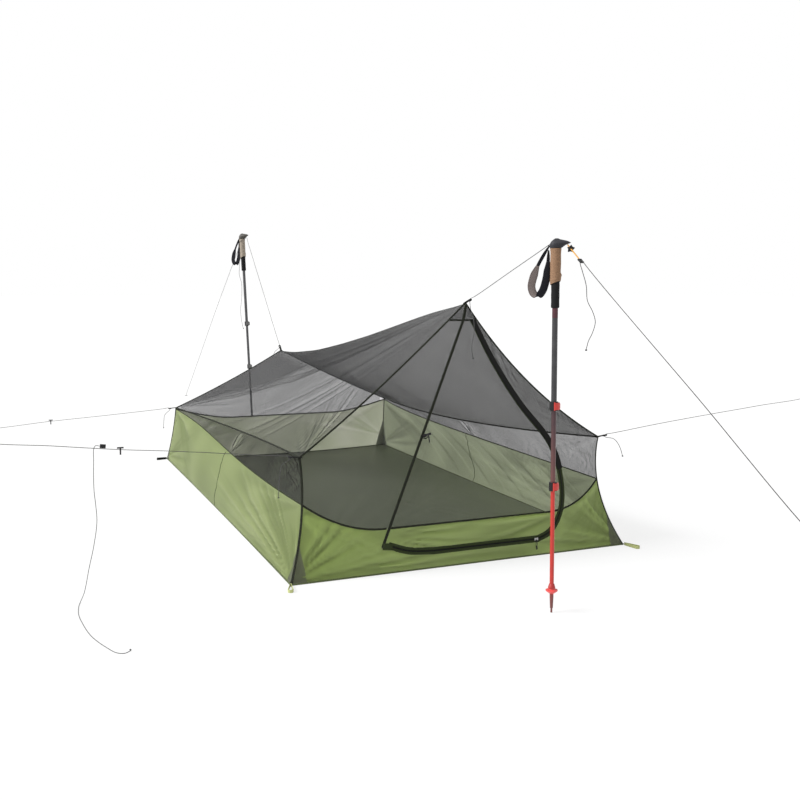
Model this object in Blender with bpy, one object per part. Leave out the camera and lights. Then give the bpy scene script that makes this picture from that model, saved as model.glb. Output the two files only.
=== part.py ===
# Mesh bug shelter with a bathtub floor, pitched on two trekking poles.
# Metres, +Z up. The origin is on the ground under the middle of the floor,
# and the door faces -Y.

import bpy
import bmesh
import math
from mathutils import Matrix, Vector, geometry

# Floor plan
FLOOR_LENGTH = 2.130
FLOOR_WIDTH_FRONT = 1.210
FLOOR_WIDTH_REAR = 1.169
FLOOR_SIDE_BOW = 0.005
FLOOR_REAR_BOW = 0.070

# Upper corners and peaks, each set in from the edge of the floor
FRONT_CORNER_HEIGHT = 0.372
FRONT_CORNER_INSET = 0.058
FRONT_CORNER_SETBACK = 0.091
REAR_CORNER_HEIGHT = 0.268
REAR_CORNER_INSET = 0.0325
REAR_CORNER_SETBACK = 0.0855
FRONT_PEAK_HEIGHT = 0.843
FRONT_PEAK_SETBACK = 0.0625
REAR_PEAK_HEIGHT = 0.532
REAR_PEAK_SETBACK = 0.025

# How far each tensioned edge hangs or is drawn in at its middle
FRONT_CORNER_BOW = 0.029
REAR_CORNER_BOW = 0.005
EAVE_DROP = 0.020
EAVE_BOW = 0.067
SIDE_BULGE = 0.062
RIDGE_DROP = 0.040
FRONT_EDGE_DROP = 0.034
FRONT_EDGE_BOW = 0.041
REAR_EDGE_DROP = 0.008
REAR_EDGE_BOW = 0.010
ROOF_CREASE = 0.62

# Height of the coated wall cloth at the middle and at the corners
FRONT_CLOTH_HEIGHT = 0.143
FRONT_CLOTH_RISE = 0.085
FRONT_CLOTH_FLAT = 0.300
REAR_CLOTH_HEIGHT = 0.203
REAR_CLOTH_RISE = 0.060
REAR_CLOTH_FLAT = 0.270
SIDE_CLOTH_DROP = 0.0525

# Cloth, seams and clearance
SHEET = 0.0010
SEAM_RADIUS = 0.0030
KNOB_RADIUS = 0.0032
HINGE_SEAM_RADIUS = 0.0035
FINE_SEAM_RADIUS = 0.0020
GAP = 0.0003
SHEET_SPACING = 0.110
ROOF_SPACING = 0.105
FLOOR_SPACING = 0.300
PEAK_PATCH_DEPTH = 0.053

# Door and zip
HINGE_BOTTOM_X = -0.300
HINGE_BOTTOM_HEIGHT = 0.097
HINGE_TOP_X = -0.009
ZIP_BOTTOM_HEIGHT = 0.057
ZIP_STRAIGHT_LEFT = -0.130
ZIP_STRAIGHT_RIGHT = 0.258
ZIP_SIDE_X = 0.365
ZIP_SIDE_HEIGHT = 0.215
ZIP_CORNER_X = 0.336
ZIP_CORNER_HEIGHT = 0.112
ZIP_TOP_X = 0.026
TAPE_WIDTH = 0.0110
TAPE_THICKNESS = 0.0012
COIL_WIDTH = 0.0022
COIL_HEIGHT = 0.0018
SLIDER_X = 0.2505
SLIDER_LENGTH = 0.014
SLIDER_WALL = 0.0014
PULL_LENGTH = 0.034
PULL_WIDTH = 0.006
PULL_THICKNESS = 0.002
TOGGLE_HEIGHT = 0.425
TOGGLE_LENGTH = 0.026
TOGGLE_RADIUS = 0.0035

# Webbing tabs, line locks and stake loops
TAB_LENGTH = 0.024
TAB_WIDTH = 0.010
TAB_THICKNESS = 0.0016
LOCK_LENGTH = 0.014
LOCK_WIDTH = 0.013
LOCK_THICKNESS = 0.0036
LOCK_RAIL = 0.003
STAKE_LOOP_LENGTH = 0.062
STAKE_LOOP_SPREAD = 0.016
STAKE_LOOP_WIDTH = 0.010
STAKE_LOOP_THICKNESS = 0.0012

# Cords
CORD_DIAMETER = 0.0020
TAIL_DIAMETER = 0.0018
LOOP_DIAMETER = 0.0036
LONG_TAIL_POINTS = 44
EYE_RADIUS = 0.009
EYE_CLEARANCE = 0.0034
LOCK_OVER = 0.0036
CLEAT_BAR = 0.018
CLEAT_STEM = 0.014
CLEAT_THICKNESS = 0.004
BUCKLE_THICKNESS = 0.005
BUCKLE_SHARE = 0.262
STAR_SHARE = 0.27
ADJUSTER_LENGTH = 0.016
ADJUSTER_WIDTH = 0.011
STAR_RADIUS = 0.011
STAR_NOTCH = 0.62

ROUND = 16
CORD_SIDES_LEVEL = 2

# The two trekking poles. Heights are measured along each pole from its tip.
POLES = {
    "front_pole": {
        "foot": (0.0, -1.557, 0.0003), "lean": 0.033, "turn": -0.933,
        "length": 1.033, "head_height": 0.026, "head_reach": 0.044,
        "cork_length": 0.092, "cork_radius": 0.0152, "strap": 0.140,
        "foam_length": 0.068, "foam_radius": 0.0115,
        "upper_lock": 0.580, "lower_lock": 0.357,
        "colours": {"shaft": (0.085, 0.075, 0.08), "middle": (0.12, 0.06, 0.07),
                    "lower": (0.52, 0.035, 0.02), "lever": (0.55, 0.03, 0.025),
                    "basket": (0.55, 0.03, 0.025)},
    },
    "rear_pole": {
        "foot": (0.0, 1.604, 0.0008), "lean": 0.176, "turn": -0.933,
        "length": 1.163, "head_height": 0.034, "head_reach": 0.049,
        "cork_length": 0.104, "cork_radius": 0.0165, "strap": 0.148,
        "foam_length": 0.076, "foam_radius": 0.0128,
        "upper_lock": 0.642, "lower_lock": 0.395,
        "colours": {"shaft": (0.12, 0.12, 0.12), "middle": (0.14, 0.14, 0.14),
                    "lower": (0.10, 0.10, 0.10), "lever": (0.03, 0.03, 0.03),
                    "basket": (0.03, 0.03, 0.03)},
    },
}
UPPER_SHAFT_RADIUS = 0.0077
MIDDLE_SHAFT_RADIUS = 0.0068
LOWER_SHAFT_RADIUS = 0.0059
SHAFT_WALL = 0.0006
SHAFT_OVERLAP = 0.200
CLAMP_WALL = 0.0040
CLAMP_LENGTH = 0.024
LEVER_THICKNESS = 0.0040
LEVER_LENGTH = 0.019
LEVER_ARC = 2.3
BASKET_RADIUS = 0.0170
BASKET_HEIGHT = 0.016
BASKET_BOTTOM = 0.055
FERRULE_RADIUS = 0.0055
TIP_RADIUS = 0.0028
TIP_LENGTH = 0.012
STRAP_WIDTH = 0.020
STRAP_THICKNESS = 0.0020
STRAP_PIN_HEIGHT = 0.008
HEAD_OVERHANG = 0.0015

# Values that follow from the ones above
FRONT_Y = -FLOOR_LENGTH / 2
REAR_Y = FLOOR_LENGTH / 2
FRONT_CORNER = Vector((FLOOR_WIDTH_FRONT / 2 - FRONT_CORNER_INSET,
                       FRONT_Y + FRONT_CORNER_SETBACK, FRONT_CORNER_HEIGHT))
REAR_CORNER = Vector((FLOOR_WIDTH_REAR / 2 - REAR_CORNER_INSET,
                      REAR_Y - REAR_CORNER_SETBACK, REAR_CORNER_HEIGHT))
FRONT_PEAK = Vector((0.0, FRONT_Y + FRONT_PEAK_SETBACK, FRONT_PEAK_HEIGHT))
REAR_PEAK = Vector((0.0, REAR_Y - REAR_PEAK_SETBACK, REAR_PEAK_HEIGHT))
PATCH_BASE_HEIGHT = FRONT_PEAK_HEIGHT - PEAK_PATCH_DEPTH
EDGE_MARGIN = SEAM_RADIUS + GAP
FINE_MARGIN = FINE_SEAM_RADIUS + GAP
HINGE_MARGIN = HINGE_SEAM_RADIUS + GAP
# the floor's edge meets the lower flank of its seam
FLOOR_MARGIN = SEAM_RADIUS * 0.65 + GAP
ZIP_MARGIN = TAPE_WIDTH + GAP


# Scene and materials

def clear_scene():
    for old in list(bpy.data.objects):
        bpy.data.objects.remove(old, do_unlink=True)


def material(name, colour, roughness=0.7, metallic=0.0, alpha=1.0):
    made = bpy.data.materials.get(name)
    if made is None:
        made = bpy.data.materials.new(name)
        made.use_nodes = True
        shader = made.node_tree.nodes["Principled BSDF"]
        shader.inputs["Base Color"].default_value = (*colour, 1.0)
        shader.inputs["Roughness"].default_value = roughness
        shader.inputs["Metallic"].default_value = metallic
        shader.inputs["Alpha"].default_value = alpha
        made.diffuse_color = (*colour, 1.0)
    return made


def place(name, mesh_data, finish, origin=(0.0, 0.0, 0.0), parent=None, local=False):
    # mesh_data is a bmesh in world metres, or in its parent's frame when local is set
    origin = Vector(origin)
    if not local:
        bmesh.ops.translate(mesh_data, vec=-origin, verts=mesh_data.verts)
    bmesh.ops.recalc_face_normals(mesh_data, faces=mesh_data.faces)
    mesh = bpy.data.meshes.new(name)
    mesh_data.to_mesh(mesh)
    mesh_data.free()
    mesh.materials.append(finish)
    mesh.shade_smooth()
    mesh.set_sharp_from_angle(angle=math.radians(35))
    made = bpy.data.objects.new(name, mesh)
    bpy.context.collection.objects.link(made)
    made.parent = parent
    made.location = origin
    return made


# Curves of the pitched shelter

def lerp(a, b, share):
    return a + (b - a) * share


def hump(share):
    # 0 at both ends and 1 in the middle
    return 4.0 * share * (1.0 - share)


def front_corner_seam(side, share):
    bow = FRONT_CORNER_BOW * hump(share)
    return Vector((side * (lerp(FLOOR_WIDTH_FRONT / 2, FRONT_CORNER.x, share) - bow),
                   lerp(FRONT_Y, FRONT_CORNER.y, share) + bow,
                   FRONT_CORNER_HEIGHT * share))


def rear_corner_seam(side, share):
    bow = REAR_CORNER_BOW * hump(share)
    return Vector((side * (lerp(FLOOR_WIDTH_REAR / 2, REAR_CORNER.x, share) - bow),
                   lerp(REAR_Y, REAR_CORNER.y, share) - bow,
                   REAR_CORNER_HEIGHT * share))


def floor_side(side, share):
    half = lerp(FLOOR_WIDTH_FRONT, FLOOR_WIDTH_REAR, share) / 2 - FLOOR_SIDE_BOW * hump(share)
    return Vector((side * half, lerp(FRONT_Y, REAR_Y, share), 0.0))


def eave(side, share):
    half = lerp(FRONT_CORNER.x, REAR_CORNER.x, share) - EAVE_BOW * hump(share)
    return Vector((side * half, lerp(FRONT_CORNER.y, REAR_CORNER.y, share),
                   lerp(FRONT_CORNER.z, REAR_CORNER.z, share) - EAVE_DROP * hump(share)))


def front_edge(side, share):
    # from the front peak, share 0, down to the upper corner, share 1
    return Vector((side * FRONT_CORNER.x * share,
                   lerp(FRONT_PEAK.y, FRONT_CORNER.y, share) + FRONT_EDGE_BOW * hump(share),
                   lerp(FRONT_PEAK.z, FRONT_CORNER.z, share) - FRONT_EDGE_DROP * hump(share)))


def rear_edge(side, share):
    return Vector((side * REAR_CORNER.x * share,
                   lerp(REAR_PEAK.y, REAR_CORNER.y, share) - REAR_EDGE_BOW * hump(share),
                   lerp(REAR_PEAK.z, REAR_CORNER.z, share) - REAR_EDGE_DROP * hump(share)))


def ridge_height(share):
    # the ridge hangs lowest two thirds of the way back
    return lerp(FRONT_PEAK.z, REAR_PEAK.z, share) - RIDGE_DROP * 6.75 * share ** 2 * (1 - share)


def share_at_height(curve, side, height, low, high):
    # halving search on a curve whose height falls or rises steadily
    rising = curve(side, high).z > curve(side, low).z
    for _ in range(40):
        middle = (low + high) / 2
        if (curve(side, middle).z < height) == rising:
            low = middle
        else:
            high = middle
    return (low + high) / 2


# Surfaces of the pitched shelter, each a height or depth over a flat plan

def clamp(value, low=0.0, high=1.0):
    return max(low, min(high, value))


def roof_point(x, y):
    along = clamp((y - FRONT_CORNER.y) / (REAR_CORNER.y - FRONT_CORNER.y))
    across = clamp(abs(x) / eave(1, along).x)
    front = front_edge(1, across).y
    rear = rear_edge(1, across).y
    back = clamp((y - front) / (rear - front))
    height = (lerp(ridge_height(back), eave(1, back).z, across)
              + lerp(front_edge(1, across).z, rear_edge(1, across).z, back)
              - lerp(lerp(FRONT_PEAK.z, REAR_PEAK.z, back),
                     lerp(FRONT_CORNER.z, REAR_CORNER.z, back), across))
    twist = FRONT_PEAK.z - REAR_PEAK.z - FRONT_CORNER.z + REAR_CORNER.z
    height += ROOF_CREASE * twist * min(back, across) * (1 - max(back, across))
    return Vector((x, y, height))


def side_point(side, y, z):
    up_front = clamp(z / FRONT_CORNER_HEIGHT)
    up_rear = clamp(z / REAR_CORNER_HEIGHT)
    front = front_corner_seam(side, up_front).y
    rear = rear_corner_seam(side, up_rear).y
    back = clamp((y - front) / (rear - front))
    top = eave(1, back)
    up = clamp(z / top.z)
    bow = lerp(FRONT_CORNER_BOW, REAR_CORNER_BOW, back) - SIDE_BULGE * hump(back)
    x = lerp(floor_side(1, back).x, top.x, up) - bow * hump(up)
    return Vector((side * x, y, z))


def hinge_x(z):
    rise = PATCH_BASE_HEIGHT - HINGE_BOTTOM_HEIGHT
    return lerp(HINGE_BOTTOM_X, HINGE_TOP_X, (z - HINGE_BOTTOM_HEIGHT) / rise)


def front_outline_at(z):
    if z <= FRONT_CORNER_HEIGHT:
        return front_corner_seam(1, max(0.0, z) / FRONT_CORNER_HEIGHT)
    share = share_at_height(front_edge, 1, min(z, FRONT_PEAK_HEIGHT), 0.0, 1.0)
    return front_edge(1, share)


def front_point(x, z):
    # flat across the door, then curving back to the corner seams and roof edges
    flat_y = lerp(FRONT_Y, FRONT_PEAK.y, z / FRONT_PEAK_HEIGHT)
    edge = front_outline_at(z)
    flat_half = min(abs(hinge_x(z)), edge.x * 0.9)
    share = clamp((abs(x) - flat_half) / max(edge.x - flat_half, 1e-6), 0.0, 1.2)
    return Vector((x, flat_y + (edge.y - flat_y) * share ** 1.5, z))


def rear_outline_at(z):
    if z <= REAR_CORNER_HEIGHT:
        return rear_corner_seam(1, max(0.0, z) / REAR_CORNER_HEIGHT)
    share = share_at_height(rear_edge, 1, min(z, REAR_PEAK_HEIGHT), 0.0, 1.0)
    return rear_edge(1, share)


def rear_point(x, z):
    middle_y = lerp(REAR_Y - FLOOR_REAR_BOW, REAR_PEAK.y, z / REAR_PEAK_HEIGHT)
    edge = rear_outline_at(z)
    share = clamp(abs(x) / max(edge.x, 1e-6), 0.0, 1.2)
    return Vector((x, middle_y + (edge.y - middle_y) * share ** 2, z))


def front_cloth_top(x):
    reach = FRONT_CORNER.x - FRONT_CLOTH_FLAT
    return FRONT_CLOTH_HEIGHT + FRONT_CLOTH_RISE * max(0.0, (abs(x) - FRONT_CLOTH_FLAT) / reach) ** 2.2


def rear_cloth_top(x):
    reach = REAR_CORNER.x - REAR_CLOTH_FLAT
    return REAR_CLOTH_HEIGHT + REAR_CLOTH_RISE * max(0.0, (abs(x) - REAR_CLOTH_FLAT) / reach) ** 1.6


# Where the cloth's top seam meets each corner seam
def meeting_share(seam, cloth_top, height):
    share = 0.6
    for _ in range(30):
        share = cloth_top(seam(1, share).x) / height
    return share


FRONT_MEET = meeting_share(front_corner_seam, front_cloth_top, FRONT_CORNER_HEIGHT)
REAR_MEET = 0.975
SIDE_NET_END = 0.86
REAR_NET_SHARE = 0.955


def side_cloth_top(share):
    low = front_corner_seam(1, FRONT_MEET).z
    high = rear_corner_seam(1, REAR_MEET).z
    return lerp(low, high, share) - SIDE_CLOTH_DROP * share * (1 - share)


def side_cloth_point(side, share):
    z = side_cloth_top(share)
    front = front_corner_seam(side, z / FRONT_CORNER_HEIGHT).y
    rear = rear_corner_seam(side, min(1.0, z / REAR_CORNER_HEIGHT)).y
    return side_point(side, lerp(front, rear, share), z)


# Points along a smooth curve through a few chosen ones

def spline_point(a, b, c, d, share):
    # centripetal spline between b and c, which doesn't swing past unevenly spaced points
    knots = [0.0]
    for p, q in ((a, b), (b, c), (c, d)):
        knots.append(knots[-1] + math.sqrt(max((q - p).length, 1e-7)))
    t = lerp(knots[1], knots[2], share)
    ab = a.lerp(b, (t - knots[0]) / (knots[1] - knots[0]))
    bc = b.lerp(c, (t - knots[1]) / (knots[2] - knots[1]))
    cd = c.lerp(d, (t - knots[2]) / (knots[3] - knots[2]))
    abc = ab.lerp(bc, (t - knots[0]) / (knots[2] - knots[0]))
    bcd = bc.lerp(cd, (t - knots[1]) / (knots[3] - knots[1]))
    return abc.lerp(bcd, (t - knots[1]) / (knots[2] - knots[1]))


def smooth_spans(points, steps):
    # the same number of points on each span between two chosen ones
    points = [Vector(p) for p in points]
    ends = [points[0] * 2 - points[1]] + points + [points[-1] * 2 - points[-2]]
    samples = []
    for index in range(1, len(ends) - 2):
        a, b, c, d = ends[index - 1:index + 3]
        samples += [spline_point(a, b, c, d, step / steps) for step in range(steps)]
    samples.append(points[-1])
    return samples


def smooth_route(points, count):
    # points evenly spaced along the whole curve
    samples = smooth_spans(points, 24)
    lengths = [0.0]
    for p, q in zip(samples, samples[1:]):
        lengths.append(lengths[-1] + (q - p).length)
    route = []
    at = 0
    for index in range(count):
        want = lengths[-1] * index / (count - 1)
        while at < len(lengths) - 2 and lengths[at + 1] < want:
            at += 1
        part = (want - lengths[at]) / max(lengths[at + 1] - lengths[at], 1e-9)
        route.append(samples[at].lerp(samples[at + 1], clamp(part)))
    return route


def sampled(curve, low, high, count):
    return [curve(lerp(low, high, index / (count - 1))) for index in range(count)]


# Flat cloth: an outline in a plan, drawn in by a margin on each edge and lifted to its surface

def inset_outline(segments):
    edges = []
    for points, margin in segments:
        for p, q in zip(points, points[1:]):
            if (Vector(q) - Vector(p)).length > 1e-6:
                edges.append((Vector(p), Vector(q), margin))
    area = sum(p.x * q.y - q.x * p.y for p, q, _ in edges)
    if area < 0:
        edges = [(q, p, margin) for p, q, margin in reversed(edges)]
    corners = []
    for index, (p, q, margin) in enumerate(edges):
        before = edges[index - 1]
        run = (q - p).normalized()
        run_before = (before[1] - before[0]).normalized()
        inward = Vector((-run.y, run.x)) * margin
        inward_before = Vector((-run_before.y, run_before.x)) * before[2]
        cross = run_before.x * run.y - run_before.y * run.x
        if abs(cross) < 0.02:
            corners.append(p + (inward + inward_before) / 2)
        else:
            start = before[1] + inward_before
            other = p + inward
            along = ((other - start).x * run.y - (other - start).y * run.x) / cross
            corners.append(start + run_before * along)
    return corners


def inside(point, outline):
    hit = False
    for p, q in zip(outline, outline[1:] + outline[:1]):
        if (p.y > point.y) != (q.y > point.y):
            if point.x < (q.x - p.x) * (point.y - p.y) / (q.y - p.y) + p.x:
                hit = not hit
    return hit


def edge_distance(point, outline):
    nearest = 1e9
    for p, q in zip(outline, outline[1:] + outline[:1]):
        share = clamp((point - p).dot(q - p) / max((q - p).length_squared, 1e-12))
        nearest = min(nearest, (point - p.lerp(q, share)).length)
    return nearest


def add_sheet(bm, segments, lift, spacing=SHEET_SPACING, offset=0.0, thickness=SHEET):
    outline = inset_outline(segments)
    points = list(outline)
    low = Vector((min(p.x for p in outline), min(p.y for p in outline)))
    high = Vector((max(p.x for p in outline), max(p.y for p in outline)))
    columns = max(1, round((high.x - low.x) / spacing))
    rows = max(1, round((high.y - low.y) / spacing))
    for column in range(1, columns):
        for row in range(1, rows):
            point = Vector((lerp(low.x, high.x, column / columns), lerp(low.y, high.y, row / rows)))
            if inside(point, outline) and edge_distance(point, outline) > 0.35 * spacing:
                points.append(point)
    loop = list(range(len(outline)))
    flat, _, faces, _, _, _ = geometry.delaunay_2d_cdt(points, [], [loop], 1, 1e-7)
    step = 0.001
    upper = []
    lower = []
    for p in flat:
        here = lift(p.x, p.y)
        along = lift(p.x + step, p.y) - lift(p.x - step, p.y)
        across = lift(p.x, p.y + step) - lift(p.x, p.y - step)
        normal = along.cross(across).normalized()
        upper.append(bm.verts.new(here + normal * (offset + thickness / 2)))
        lower.append(bm.verts.new(here + normal * (offset - thickness / 2)))
    runs = set()
    for face in faces:
        bm.faces.new([upper[i] for i in face])
        bm.faces.new([lower[i] for i in reversed(face)])
        runs.update(zip(face, face[1:] + face[:1]))
    for a, b in sorted(runs):
        if (b, a) not in runs:
            bm.faces.new([upper[b], upper[a], lower[a], lower[b]])


def flat_points(curve_points, first, second):
    # a curve's points seen in a plan, with its two axes given by number
    return [Vector((p[first], p[second])) for p in curve_points]


# Tubes and straps: a section carried along a path

def path_frames(points, up):
    frames = []
    side = None
    for index, point in enumerate(points):
        ahead = points[min(index + 1, len(points) - 1)] - points[max(index - 1, 0)]
        ahead.normalize()
        if side is None:
            side = ahead.cross(Vector(up)).normalized()
        else:
            side = (side - ahead * side.dot(ahead)).normalized()
        frames.append((point, side, side.cross(ahead)))
    return frames


def add_sweep(bm, frames, section, closed=False):
    rings = []
    for point, side, top in frames:
        rings.append([bm.verts.new(point + side * a + top * b) for a, b in section])
    pairs = list(zip(rings, rings[1:] + ([rings[0]] if closed else [])))
    for ring, following in pairs:
        for i in range(len(section)):
            j = (i + 1) % len(section)
            bm.faces.new([ring[i], ring[j], following[j], following[i]])
    if not closed:
        bm.faces.new(list(reversed(rings[0])))
        bm.faces.new(rings[-1])


def circle_section(radius, count):
    return [(radius * math.cos(2 * math.pi * i / count), radius * math.sin(2 * math.pi * i / count))
            for i in range(count)]


def box_section(width, height):
    return [(-width / 2, -height / 2), (width / 2, -height / 2),
            (width / 2, height / 2), (-width / 2, height / 2)]


def add_tube(bm, points, radius, count=6, up=(0.0, 0.0, 1.0)):
    add_sweep(bm, path_frames(points, up), circle_section(radius, count))


def trimmed(points, start, end):
    # shorten a run of points by a distance at each end
    points = list(points)
    for cut in (start, end):
        points.reverse()
        while cut > 0 and len(points) > 2 and (points[-1] - points[-2]).length <= cut:
            cut -= (points[-1] - points[-2]).length
            points.pop()
        if cut > 0:
            back = (points[-2] - points[-1]).normalized()
            points[-1] = points[-1] + back * cut
    return points


def add_turned(bm, profile, count=ROUND, matrix=None):
    # a closed profile of (radius, height) turned about Z; a radius of 0 is on the axis
    rings = []
    for radius, height in profile:
        if radius == 0.0:
            rings.append([bm.verts.new((0.0, 0.0, height))])
        else:
            rings.append([bm.verts.new((radius * math.cos(2 * math.pi * i / count),
                                        radius * math.sin(2 * math.pi * i / count), height))
                          for i in range(count)])
    made = [vert for ring in rings for vert in ring]
    for ring, following in zip(rings, rings[1:] + rings[:1]):
        for i in range(count):
            j = (i + 1) % count
            corners = [ring[i % len(ring)], ring[j % len(ring)],
                       following[j % len(following)], following[i % len(following)]]
            corners = list(dict.fromkeys(corners))
            if len(corners) > 2:
                bm.faces.new(corners)
    if matrix is not None:
        bmesh.ops.transform(bm, matrix=matrix, verts=made)


def add_block(bm, size, matrix):
    made = bmesh.ops.create_cube(bm, size=1.0)["verts"]
    bmesh.ops.scale(bm, vec=size, verts=made)
    bmesh.ops.transform(bm, matrix=matrix, verts=made)


def aim(origin, direction, up=(0.0, 0.0, 1.0)):
    # a frame whose X runs along direction and whose Z is as near to up as it can be
    ahead = Vector(direction).normalized()
    side = Vector(up).cross(ahead).normalized()
    top = ahead.cross(side)
    matrix = Matrix((ahead, side, top)).transposed().to_4x4()
    matrix.translation = Vector(origin)
    return matrix


# The zip's path, as plan points on the front wall, from the peak patch round to the hinge

def zip_plan():
    top = PATCH_BASE_HEIGHT - GAP
    across = lambda share: lerp(ZIP_TOP_X, ZIP_SIDE_X, share)
    down = lambda share: lerp(top, ZIP_SIDE_HEIGHT, share)
    upper = [(ZIP_TOP_X, top), (across(0.22), down(0.232)), (across(0.53), down(0.49)),
             (across(0.82), down(0.686)), (across(0.955), down(0.84)), (ZIP_SIDE_X, ZIP_SIDE_HEIGHT),
             (lerp(ZIP_SIDE_X, ZIP_CORNER_X, 0.25), lerp(ZIP_SIDE_HEIGHT, ZIP_CORNER_HEIGHT, 0.55)),
             (ZIP_CORNER_X, ZIP_CORNER_HEIGHT),
             (lerp(ZIP_CORNER_X, ZIP_STRAIGHT_RIGHT, 0.44), lerp(ZIP_CORNER_HEIGHT, ZIP_BOTTOM_HEIGHT, 0.68)),
             (ZIP_STRAIGHT_RIGHT, ZIP_BOTTOM_HEIGHT)]
    left_end = HINGE_BOTTOM_X + HINGE_MARGIN + 0.012
    lower = [(ZIP_STRAIGHT_LEFT, ZIP_BOTTOM_HEIGHT),
             (lerp(ZIP_STRAIGHT_LEFT, left_end, 0.55), lerp(ZIP_BOTTOM_HEIGHT, HINGE_BOTTOM_HEIGHT, 0.22)),
             (left_end, HINGE_BOTTOM_HEIGHT - 0.008)]
    first = smooth_route([(x, z, 0.0) for x, z in upper], 24)
    last = smooth_route([(x, z, 0.0) for x, z in lower], 6)
    return [Vector((p.x, p.y)) for p in first + last]


ZIP_PLAN = zip_plan()


def zip_offset(distance):
    # the zip's path moved out from the door, or in where distance is negative
    points = []
    for index, point in enumerate(ZIP_PLAN):
        normals = []
        for p, q in zip(ZIP_PLAN[max(index - 1, 0):], ZIP_PLAN[max(index, 1):index + 2]):
            run = (q - p).normalized()
            normals.append(Vector((-run.y, run.x)))
        normal = sum(normals, Vector((0.0, 0.0))) / len(normals)
        points.append(point + normal / normal.length_squared * distance)
    return points


def add_zip_tape(bm, section):
    # the section is (distance out from the door, height in front of the wall)
    lines = [(zip_offset(a), b) for a, b in section]
    rings = []
    for index in range(len(ZIP_PLAN)):
        ring = []
        for line, b in lines:
            here = front_point(line[index].x, line[index].y)
            ring.append(bm.verts.new(here + Vector((0.0, -b, 0.0))))
        rings.append(ring)
    for ring, following in zip(rings, rings[1:]):
        for i in range(len(section)):
            j = (i + 1) % len(section)
            bm.faces.new([ring[i], ring[j], following[j], following[i]])
    bm.faces.new(list(reversed(rings[0])))
    bm.faces.new(rings[-1])


def tape_section(sign):
    half = TAPE_THICKNESS / 2
    near = sign * GAP / 2
    coil = sign * (GAP / 2 + COIL_WIDTH)
    far = sign * TAPE_WIDTH
    return [(near, -half), (far, -half), (far, half), (coil, half),
            (coil, half + COIL_HEIGHT), (near, half + COIL_HEIGHT)]


# Fabric colours
GREEN = (0.27, 0.35, 0.13)
GREEN_FLOOR = (0.16, 0.19, 0.10)
NET = (0.10, 0.10, 0.10)
BINDING = (0.03, 0.035, 0.025)
WEBBING = (0.02, 0.02, 0.02)
CORD = (0.55, 0.55, 0.55)
YELLOW = (0.75, 0.42, 0.08)


def build_floor():
    front = [Vector((-FLOOR_WIDTH_FRONT / 2, FRONT_Y)), Vector((FLOOR_WIDTH_FRONT / 2, FRONT_Y))]
    right = flat_points(sampled(lambda s: floor_side(1, s), 0.0, 1.0, 9), 0, 1)
    half = FLOOR_WIDTH_REAR / 2
    rear = [Vector((x, rear_point(x, 0.0).y)) for x in sampled(lambda s: s, half, -half, 11)]
    left = flat_points(sampled(lambda s: floor_side(-1, s), 1.0, 0.0, 9), 0, 1)
    bm = bmesh.new()
    add_sheet(bm, [(run, FLOOR_MARGIN) for run in (front, right, rear, left)],
              lambda x, y: Vector((x, y, SHEET / 2)), spacing=FLOOR_SPACING)
    place("floor_sheet", bm, material("floor cloth", GREEN_FLOOR, 0.6))


def front_seam_low(side):
    return sampled(lambda t: front_corner_seam(side, t), SEAM_RADIUS / FRONT_CORNER_HEIGHT, FRONT_MEET, 9)


def front_seam_high(side):
    return sampled(lambda t: front_corner_seam(side, t), FRONT_MEET, 1.0, 8)


def build_side(side, word):
    foot = SEAM_RADIUS
    lift = lambda y, z: side_point(side, y, z)
    front = flat_points(front_seam_low(side), 1, 2)
    top = flat_points(sampled(lambda s: side_cloth_point(side, s), 0.0, 1.0, 13), 1, 2)
    rear = flat_points(sampled(lambda t: rear_corner_seam(side, t), REAR_MEET,
                               foot / REAR_CORNER_HEIGHT, 5), 1, 2)
    bottom = [rear[-1], front[0]]
    bm = bmesh.new()
    add_sheet(bm, [(front, EDGE_MARGIN), (top, FINE_MARGIN), (rear, EDGE_MARGIN), (bottom, EDGE_MARGIN)],
              lift)
    place("wall_" + word, bm, material("wall cloth", GREEN, 0.6))

    upper_front = flat_points(front_seam_high(side), 1, 2)
    upper = flat_points(sampled(lambda s: eave(side, s), 0.0, SIDE_NET_END, 11), 1, 2)
    lower = flat_points(sampled(lambda s: side_cloth_point(side, s), SIDE_NET_END, 0.0, 11), 1, 2)
    end = [upper[-1], lower[0]]
    bm = bmesh.new()
    add_sheet(bm, [(upper_front, EDGE_MARGIN), (upper, EDGE_MARGIN), (end, 0.0), (lower, FINE_MARGIN)], lift)
    place("mesh_" + word, bm, material("netting", NET, 0.7, alpha=0.6))


def rear_cloth_line():
    # from the right corner seam to the left one; the netting stops one point short of each
    seam = rear_corner_seam(1, REAR_MEET)
    net = seam.x * REAR_NET_SHARE
    inner = [Vector((x, rear_cloth_top(x))) for x in sampled(lambda s: s, net, -net, 13)]
    return [Vector((seam.x, seam.z))] + inner + [Vector((-seam.x, seam.z))]


def rear_edge_points(side):
    # from the peak to the end of the netting, and then on to the corner
    return sampled(lambda v: rear_edge(side, v), 0.0, REAR_NET_SHARE, 8) + [rear_edge(side, 1.0)]


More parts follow.
